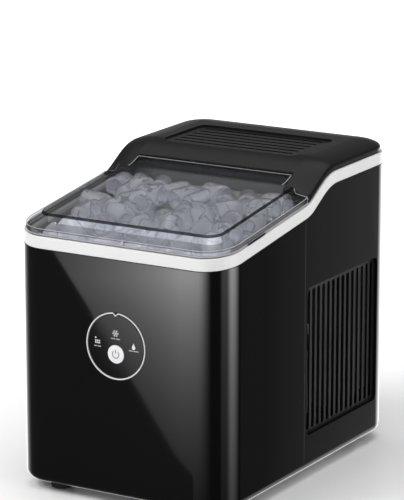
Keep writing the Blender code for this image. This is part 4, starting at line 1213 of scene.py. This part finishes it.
def build_tank():
    def rim(y):
        return shoulder(min(y, 15 * MM)) + 8.2 * MM

    walls = (
        (105.4, -154.4, 25.4, 27.4, rim),
        (101, -151, 21, 23, rim),
        (100.3, -150.3, 20.3, 22.3, lambda y: rim(y) - 0.6 * MM),
        (100, -150, 20, 22, lambda y: rim(y) - 1.6 * MM),
        (98.2, -128, 19.6, 20.2, lambda y: 80 * MM),
        (97.4, -125.6, 19, 19.6, lambda y: 72 * MM),
        (96, -124, 17.6, 18.6, lambda y: 67 * MM),
        (93, -121, 15, 16, lambda y: 64.2 * MM),
        (88, -116, 10, 12, lambda y: 64 * MM),
    )
    stations = [y * MM for y in (-90, -40, -15, -8, -3)]
    tank = build_tub(walls, stations, 12, (0, -60 * MM, 160 * MM), 2 * MM)
    mesh = solid_mesh(tank)
    add_piece("tank_tub", mesh, "tank_grey", replaces=["inner_tank"])


def basket_rim(y):
    """The basket's top edge: above the shoulder in front, and low behind, clear of the tray."""
    full = shoulder(y) + 2 * MM
    start, end, low = -78 * MM, -50 * MM, 205 * MM
    part = min(max((y - start) / (end - start), 0), 1)
    part = part * part * (3 - 2 * part)
    return full + (low - full) * part


def build_basket():
    """The lift-out basket, with slots in its floor and a rolled rim."""
    walls = (
        (94.5, -145.5, -42, 20, basket_rim),
        (94.2, -144.6, -42, 20, lambda y: basket_rim(y) - 3 * MM),
        (93, -137, -42.3, 19, lambda y: 165 * MM),
        (92, -129, -42.5, 18, lambda y: 118 * MM),
        (91, -127.5, -43.3, 17, lambda y: 113.5 * MM),
        (88, -124, -46, 15, lambda y: 111 * MM),
    )
    stations = [y * MM for y in (-110, -100, -92, -84, -78, -72, -66)]
    basket = build_tub(walls, stations, 8, (0, -90 * MM, 180 * MM), 1.8 * MM, even=False)
    drains = bmesh.new()
    for x in range(-72, 73, 12):
        for y in (-108, -68):
            low = ((x - 2) * MM, (y - 12) * MM, 105 * MM)
            add_block(drains, low, ((x + 2) * MM, (y + 12) * MM, 114.5 * MM))
    cutter = add_cut(basket, drains)
    mesh = solid_mesh(basket, cutter)
    add_piece("basket_tub", mesh, "pale_plastic", replaces=["ice_basket"])


BULLET_RADIUS = 10.3 * MM
BULLET_LENGTH = 29 * MM


def bullet_mesh():
    """One hollow ice bullet: a domed, slightly tapered cup, centred on its middle."""
    r, length = BULLET_RADIUS, BULLET_LENGTH
    outer = [(0, 0)]
    for i in range(1, 7):
        angle = math.pi / 2 * i / 6
        outer.append((0.9 * r * math.sin(angle), 0.9 * r * (1 - math.cos(angle))))
    outer += [(0.94 * r, 0.5 * length), (0.98 * r, 0.8 * length), (r, 0.94 * length)]
    outer += [(0.97 * r, 0.985 * length), (0.86 * r, length), (0.7 * r, 0.985 * length)]
    outer += [(0.58 * r, 0.93 * length), (0.52 * r, 0.75 * length), (0.46 * r, 0.55 * length)]
    outer += [(0.38 * r, 0.45 * length), (0.22 * r, 0.4 * length), (0, 0.385 * length)]
    bm = bmesh.new()
    add_turned(bm, outer, (0, 0, -length / 2), steps=20)
    mesh = mesh_of(closed_up(bm), "bullet", 80)
    return mesh


def collider(name, bm):
    obj = helper(closed_up(bm), name)
    bpy.context.view_layer.objects.active = obj
    bpy.ops.rigidbody.object_add(type="PASSIVE")
    obj.rigid_body.collision_shape = "MESH"
    obj.rigid_body.friction = 0.3
    obj.rigid_body.collision_margin = 0.0005
    return obj


ICE_COUNT = 132
ICE_FLOOR = 188 * MM
SIM_SCALE = 10.0


def drop_ice():
    """Lets the bullets fall into the basket and over the hood; returns where each comes to rest.

    The simulation runs ten times larger than life, because the solver is made for larger bodies.
    """
    scene = bpy.context.scene
    bpy.ops.rigidbody.world_add()
    scene.rigidbody_world.substeps_per_frame = 12
    scene.rigidbody_world.solver_iterations = 14
    shape = bullet_mesh()
    shape.transform(Matrix.Scale(SIM_SCALE, 4))
    walls = bmesh.new()
    s = SIM_SCALE * MM
    floor = ICE_FLOOR / MM * s
    add_block(walls, (-130 * s, -170 * s, floor - 20 * s), (130 * s, 40 * s, floor))
    for low, high in (
        ((-130, -170, 150), (-92.5, 40, 520)),  # left
        ((92.5, -170, 150), (130, 40, 520)),  # right
        ((-92.5, -175, 150), (92.5, -143, 520)),  # front
        ((-92.5, -42, 150), (92.5, 60, 249)),  # basket's back and top of hood
        ((-92.5, -1.2, 249), (92.5, 60, 520)),  # back
        ((-92.5, -46, 150), (-79, -31, 255)),  # full-basket sensor
    ):
        add_block(walls, [number * s for number in low], [number * s for number in high])
    box = collider("ice_walls", walls)
    pieces = []
    rng = random.Random(7)
    for i in range(ICE_COUNT):
        layer, slot = divmod(i, 30)
        column, line = divmod(slot, 6)
        obj = bpy.data.objects.new(f"drop_{i}", shape)
        scene.collection.objects.link(obj)
        obj.location = (
            (-72 + 28.8 * line + rng.uniform(-3, 3)) * s,
            (-17 - 27.5 * column + rng.uniform(-3, 3)) * s,
            (268 + 33 * layer + rng.uniform(-2, 2)) * s,
        )
        obj.rotation_euler = [rng.uniform(0, 2 * math.pi) for _ in range(3)]
        bpy.context.view_layer.objects.active = obj
        bpy.ops.rigidbody.object_add(type="ACTIVE")
        body = obj.rigid_body
        body.collision_shape = "CONVEX_HULL"
        body.mass = 1.0
        body.friction = 0.5
        body.restitution = 0.05
        body.use_margin = True
        body.collision_margin = 0.003
        body.linear_damping = 0.1
        body.angular_damping = 0.2
        pieces.append(obj)
    frames = 110
    scene.rigidbody_world.point_cache.frame_end = frames
    for number in range(1, frames + 1):
        scene.frame_set(number)
    graph = bpy.context.evaluated_depsgraph_get()
    rests = [piece.evaluated_get(graph).matrix_world.copy() for piece in pieces]
    bpy.ops.rigidbody.world_remove()
    for obj in [*pieces, box]:
        bpy.data.objects.remove(obj, do_unlink=True)
    bpy.data.meshes.remove(shape)
    scene.frame_set(1)
    return [
        Matrix.LocRotScale(rest.to_translation() / SIM_SCALE, rest.to_quaternion(), None)
        for rest in rests
    ]


def under_lid(y):
    return shoulder(y) + LID_BASE + SKIRT_HEIGHT + CROWN - LID_WALL


def laid_flat(rest):
    """Over the hood there is just room for a bullet that lies along the slope of the lid."""
    axis = rest.to_3x3() @ Vector((0, 0, 1))
    slope = (shoulder(-10 * MM) - shoulder(-40 * MM)) / (30 * MM)
    flat = Vector((axis.x, axis.y, axis.y * slope)).normalized()
    turn = axis.rotation_difference(flat)
    return Matrix.LocRotScale(rest.to_translation(), turn @ rest.to_quaternion(), None)


def build_ice():
    shape = bullet_mesh()
    rests = drop_ice()
    heap = bmesh.new()
    kept = 0
    for rest in rests:
        if rest.translation.y > -46 * MM:
            rest = laid_flat(rest)
        points = [rest @ v.co for v in shape.vertices]
        over = max(p.z - under_lid(p.y) for p in points) + 0.6 * MM
        if over > 11 * MM or points[0].z < ICE_FLOOR - 20 * MM:
            continue
        rest = Matrix.Translation((0, 0, -max(over, 0))) @ rest
        start = len(heap.verts)
        heap.from_mesh(shape)
        heap.verts.ensure_lookup_table()
        for vert in heap.verts[start:]:
            vert.co = rest @ vert.co
        kept += 1
    print("ice bullets kept", kept, "of", len(rests))
    add_piece("ice_bullets", mesh_of(heap, "ice", 80), "ice", replaces=["ice_pile"])


def build_hood():
    """The grey cover over the freezing fingers, behind the ice."""
    low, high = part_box("evaporator_hood")
    bm = bmesh.new()
    shelf = 250.4 * MM
    outline = [(low.y, low.z), (low.y, shelf - 3.4 * MM), (low.y + 3.4 * MM, shelf)]
    outline += [(-0.8 * MM, shelf), (2.2 * MM, shelf + 7.2 * MM)]
    outline += [(high.y, high.z - 2 * MM), (high.y, low.z)]
    add_prism(bm, [(low.x, y, z) for y, z in outline], (high.x - low.x, 0, 0))
    hood = helper(closed_up(bm))
    inner = bmesh.new()
    inside = [(low.y + 2 * MM, low.z - 9 * MM), (low.y + 2 * MM, shelf - 4.4 * MM)]
    inside += [(low.y + 4.2 * MM, shelf - 1.8 * MM), (0.3 * MM, shelf - 1.8 * MM)]
    inside += [(3.4 * MM, shelf + 5.8 * MM), (high.y + 5 * MM, high.z - 3.4 * MM)]
    inside += [(high.y + 5 * MM, low.z - 9 * MM)]
    add_prism(inner, [(low.x + 2 * MM, y, z) for y, z in inside], (high.x - low.x - 4 * MM, 0, 0))
    cutter = add_cut(hood, inner)
    add_bevel(hood, 0.8 * MM, segments=3)
    mesh = solid_mesh(hood, cutter)
    add_piece("hood_cover", mesh, "tank_grey", replaces=["evaporator_hood"])


# ---------------------------------------------------------------- carried-over CAD nodes

CAD_FINISH = {
    "lid_hinge_pin_left": "dark_screw", "lid_hinge_pin_right": "dark_screw",
    "panel_carrier": "grey_plastic", "button_switch": "grey_plastic", "control_board": "board",
    "tank_insulation": "foam", "evaporator": "aluminium", "evaporator_bracket": "grey_plastic",
    "water_tray": "pale_plastic", "ice_shovel": "pale_plastic", "tray_motor": "pale_plastic",
    "ice_full_sensor": "grey_plastic", "water_level_sensor": "grey_plastic",
    "fill_spout": "pale_plastic", "pump_strainer": "pale_plastic", "water_pump": "grey_plastic",
    "pump_hose": "silicone", "drain_hose": "silicone", "compressor": "painted_steel",
    "compressor_mount_1": "rubber", "compressor_mount_2": "rubber",
    "compressor_mount_3": "rubber", "start_relay": "grey_plastic", "condenser": "painted_steel",
    "fan_shroud": "grey_plastic", "fan_motor": "steel", "fan_rotor": "grey_plastic",
    "discharge_line": "copper", "suction_line": "copper", "hot_gas_line": "copper",
    "filter_drier": "copper", "hot_gas_valve": "steel", "power_board": "board",
    "board_transformer": "painted_steel",
}


def finish_cad_nodes():
    for name, finish in CAD_FINISH.items():
        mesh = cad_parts[name].data
        mesh.materials.clear()
        mesh.materials.append(FINISH[finish])


# ---------------------------------------------------------------- floor, light and camera


def build_floor():
    bm = bmesh.new()
    half = 4.0
    corners = ((-half, -half), (half, -half), (half, half), (-half, half))
    bm.faces.new([bm.verts.new((x, y, 0)) for x, y in corners])
    mesh = bpy.data.meshes.new("floor")
    bm.to_mesh(mesh)
    bm.free()
    floor = bpy.data.objects.new("floor", mesh)
    bpy.context.scene.collection.objects.link(floor)
    settings = {
        "Base Color": rgba((0.9, 0.9, 0.9)), "Roughness": 0.14, "IOR": 1.5,
        "Emission Color": rgba((1, 1, 1)),
    }
    made, shader, surface = new_material("floor_pale", settings)
    away = shader.node("ShaderNodeVectorMath", operation="LENGTH")
    shader.links.new(shader.node("ShaderNodeTexCoord").outputs["Object"], away.inputs[0])
    glow = shader.remap(away.outputs["Value"], 0.2, 1.1, 0.0, 0.75, smooth=True)
    shader.links.new(glow, surface.inputs["Emission Strength"])
    mesh.materials.append(made)
    floor.visible_glossy = False


AMBIENT = 0.72  # even light from all round, for rays that aren't reflections


def build_world():
    """White behind the object, even soft light on it, and tall soft strips in its reflections."""
    world = bpy.data.worlds.new("studio")
    bpy.context.scene.world = world
    world.use_nodes = True
    s = Shader(world.node_tree)
    split = s.node("ShaderNodeSeparateXYZ")
    s.links.new(s.node("ShaderNodeTexCoord").outputs["Generated"], split.inputs[0])
    x, y, z = split.outputs
    degrees = 180 / math.pi
    azimuth = s.math("MULTIPLY", s.math("ARCTAN2", x, s.math("MULTIPLY", y, -1.0)), degrees)
    height = s.math("MULTIPLY", s.math("ARCSINE", z), degrees)

    # a broad panel in front, cut off along a slanting edge, that fades left and downwards
    lean = s.math(
        "ADD",
        s.math("MULTIPLY", s.math("ADD", azimuth, 33.69), 4.68),
        s.math("MULTIPLY", s.math("ADD", height, 14.02), 2.96),
    )
    across = s.math("POWER", 2.0, s.math("MULTIPLY", s.math("ADD", azimuth, 31.17), 0.94))
    across = s.math("MULTIPLY", s.math("MINIMUM", across, 1.1), 5.0)
    panel = s.math("MULTIPLY", s.remap(lean, 0.0, 0.12, 0.0, 1.0), across)
    panel = s.math("MULTIPLY", panel, s.remap(azimuth, -15.0, 33.0, 1.0, 0.0, smooth=True))
    fade = s.math("POWER", 2.0, s.math("MULTIPLY", s.math("ADD", height, 14.8), 0.96))
    fade = s.math("MAXIMUM", s.math("SUBTRACT", s.math("MULTIPLY", fade, 1.05), 0.03), 0.0)
    panel = s.math("MULTIPLY", panel, s.math("MINIMUM", fade, 1.25))

    # a tall strip to the right
    rise = s.math(
        "ADD",
        s.remap(azimuth, 58.0, 72.0, 0.0, 1.0, smooth=True),
        s.remap(azimuth, 82.0, 102.0, 0.0, 4.6, smooth=True),
    )
    strip = s.math("MULTIPLY", rise, s.remap(azimuth, 102.0, 140.0, 1.0, 0.0, smooth=True))
    fade = s.math("POWER", 2.0, s.math("MULTIPLY", s.math("ADD", height, 14.8), 0.55))
    strip = s.math("MULTIPLY", strip, s.math("MINIMUM", fade, 1.2))

    # the bright wall behind, and its glow on the left
    right = s.math(
        "ADD",
        s.remap(azimuth, 150.6, 152.6, 0.05, 0.22),
        s.remap(azimuth, 152.8, 172.0, 0.0, 2.4),
    )
    right = s.math("MULTIPLY", right, s.math("GREATER_THAN", azimuth, 145.0))
    left = s.math("POWER", s.remap(azimuth, -80.0, -128.0, 0.0, 1.0), 1.6)
    left = s.math("MULTIPLY", left, 2.3)
    wall = s.math("MULTIPLY", s.math("ADD", left, right), s.remap(height, -11.0, -6.0, 1.0, 0.12))
    wall = s.math("MULTIPLY", wall, s.remap(height, -36.0, -22.0, 0.1, 1.0))
    room = s.remap(azimuth, 18.0, 32.0, 0.09, 0.01)
    top = s.remap(height, -13.2, -11.0, 1.0, 0.2)
    boxes = s.math("MULTIPLY", s.math("ADD", panel, strip), top)
    low = s.math("ADD", boxes, s.math("ADD", wall, room))

    # above: a dim room with a soft box overhead
    overhead = s.remap(height, 38.0, 62.0, 0.0, 0.6, smooth=True)
    upper = s.math("ADD", overhead, 0.12)
    share = s.remap(height, 2.0, 12.0, 0.0, 1.0, smooth=True)
    reflected = s.math(
        "ADD",
        s.math("MULTIPLY", low, s.math("SUBTRACT", 1.0, share)),
        s.math("MULTIPLY", upper, share),
    )

    path = s.node("ShaderNodeLightPath")
    glossy = s.math("MULTIPLY", path.outputs["Is Glossy Ray"], s.math("SUBTRACT", reflected, AMBIENT))
    seen = s.math("ADD", glossy, AMBIENT)
    camera = path.outputs["Is Camera Ray"]
    strength = s.math(
        "ADD",
        s.math("MULTIPLY", seen, s.math("SUBTRACT", 1.0, camera)),
        camera,
    )
    background = s.nodes["Background"]
    background.inputs["Color"].default_value = (1, 1, 1, 1)
    s.links.new(strength, background.inputs["Strength"])


def add_area(name, place, target, size, power):
    light = bpy.data.lights.new(name, "AREA")
    light.shape = "RECTANGLE"
    light.size, light.size_y = size
    light.energy = power
    obj = bpy.data.objects.new(name, light)
    obj.location = place
    aim = Vector(target) - Vector(place)
    obj.rotation_euler = aim.to_track_quat("-Z", "Y").to_euler()
    obj.visible_camera = False
    obj.visible_glossy = False
    bpy.context.scene.collection.objects.link(obj)
    return obj


def build_lights():
    add_area("key", (-1.4, -1.5, 2.3), (0, 0, 0.15), (1.5, 1.5), 55)
    add_area("top", (0.2, 0.1, 2.6), (0, 0, 0.2), (1.6, 1.6), 25)
    add_area("side", (2.3, 0.3, 1.0), (0, 0, 0.2), (1.2, 1.2), 12)


def build_camera():
    data = bpy.data.cameras.new("camera")
    data.lens = CAMERA_LENS
    data.sensor_width = 36
    data.clip_end = 60
    camera = bpy.data.objects.new("camera", data)
    camera.location = CAMERA_AT
    camera.rotation_euler = Euler((math.pi / 2 - CAMERA_ELEVATION, 0, CAMERA_AZIMUTH))
    bpy.context.scene.collection.objects.link(camera)
    bpy.context.scene.camera = camera


build_camera()
build_front_cover()
build_rear_housing()
build_joint_highlights()
build_trim_band()
build_top_cover()
build_lid()
build_side_grilles()
build_base()
build_rear_fittings()
build_panel()
build_tank()
build_basket()
build_hood()
build_ice()
finish_cad_nodes()
build_floor()
build_world()
build_lights()
bpy.context.scene.view_settings.view_transform = "Standard"
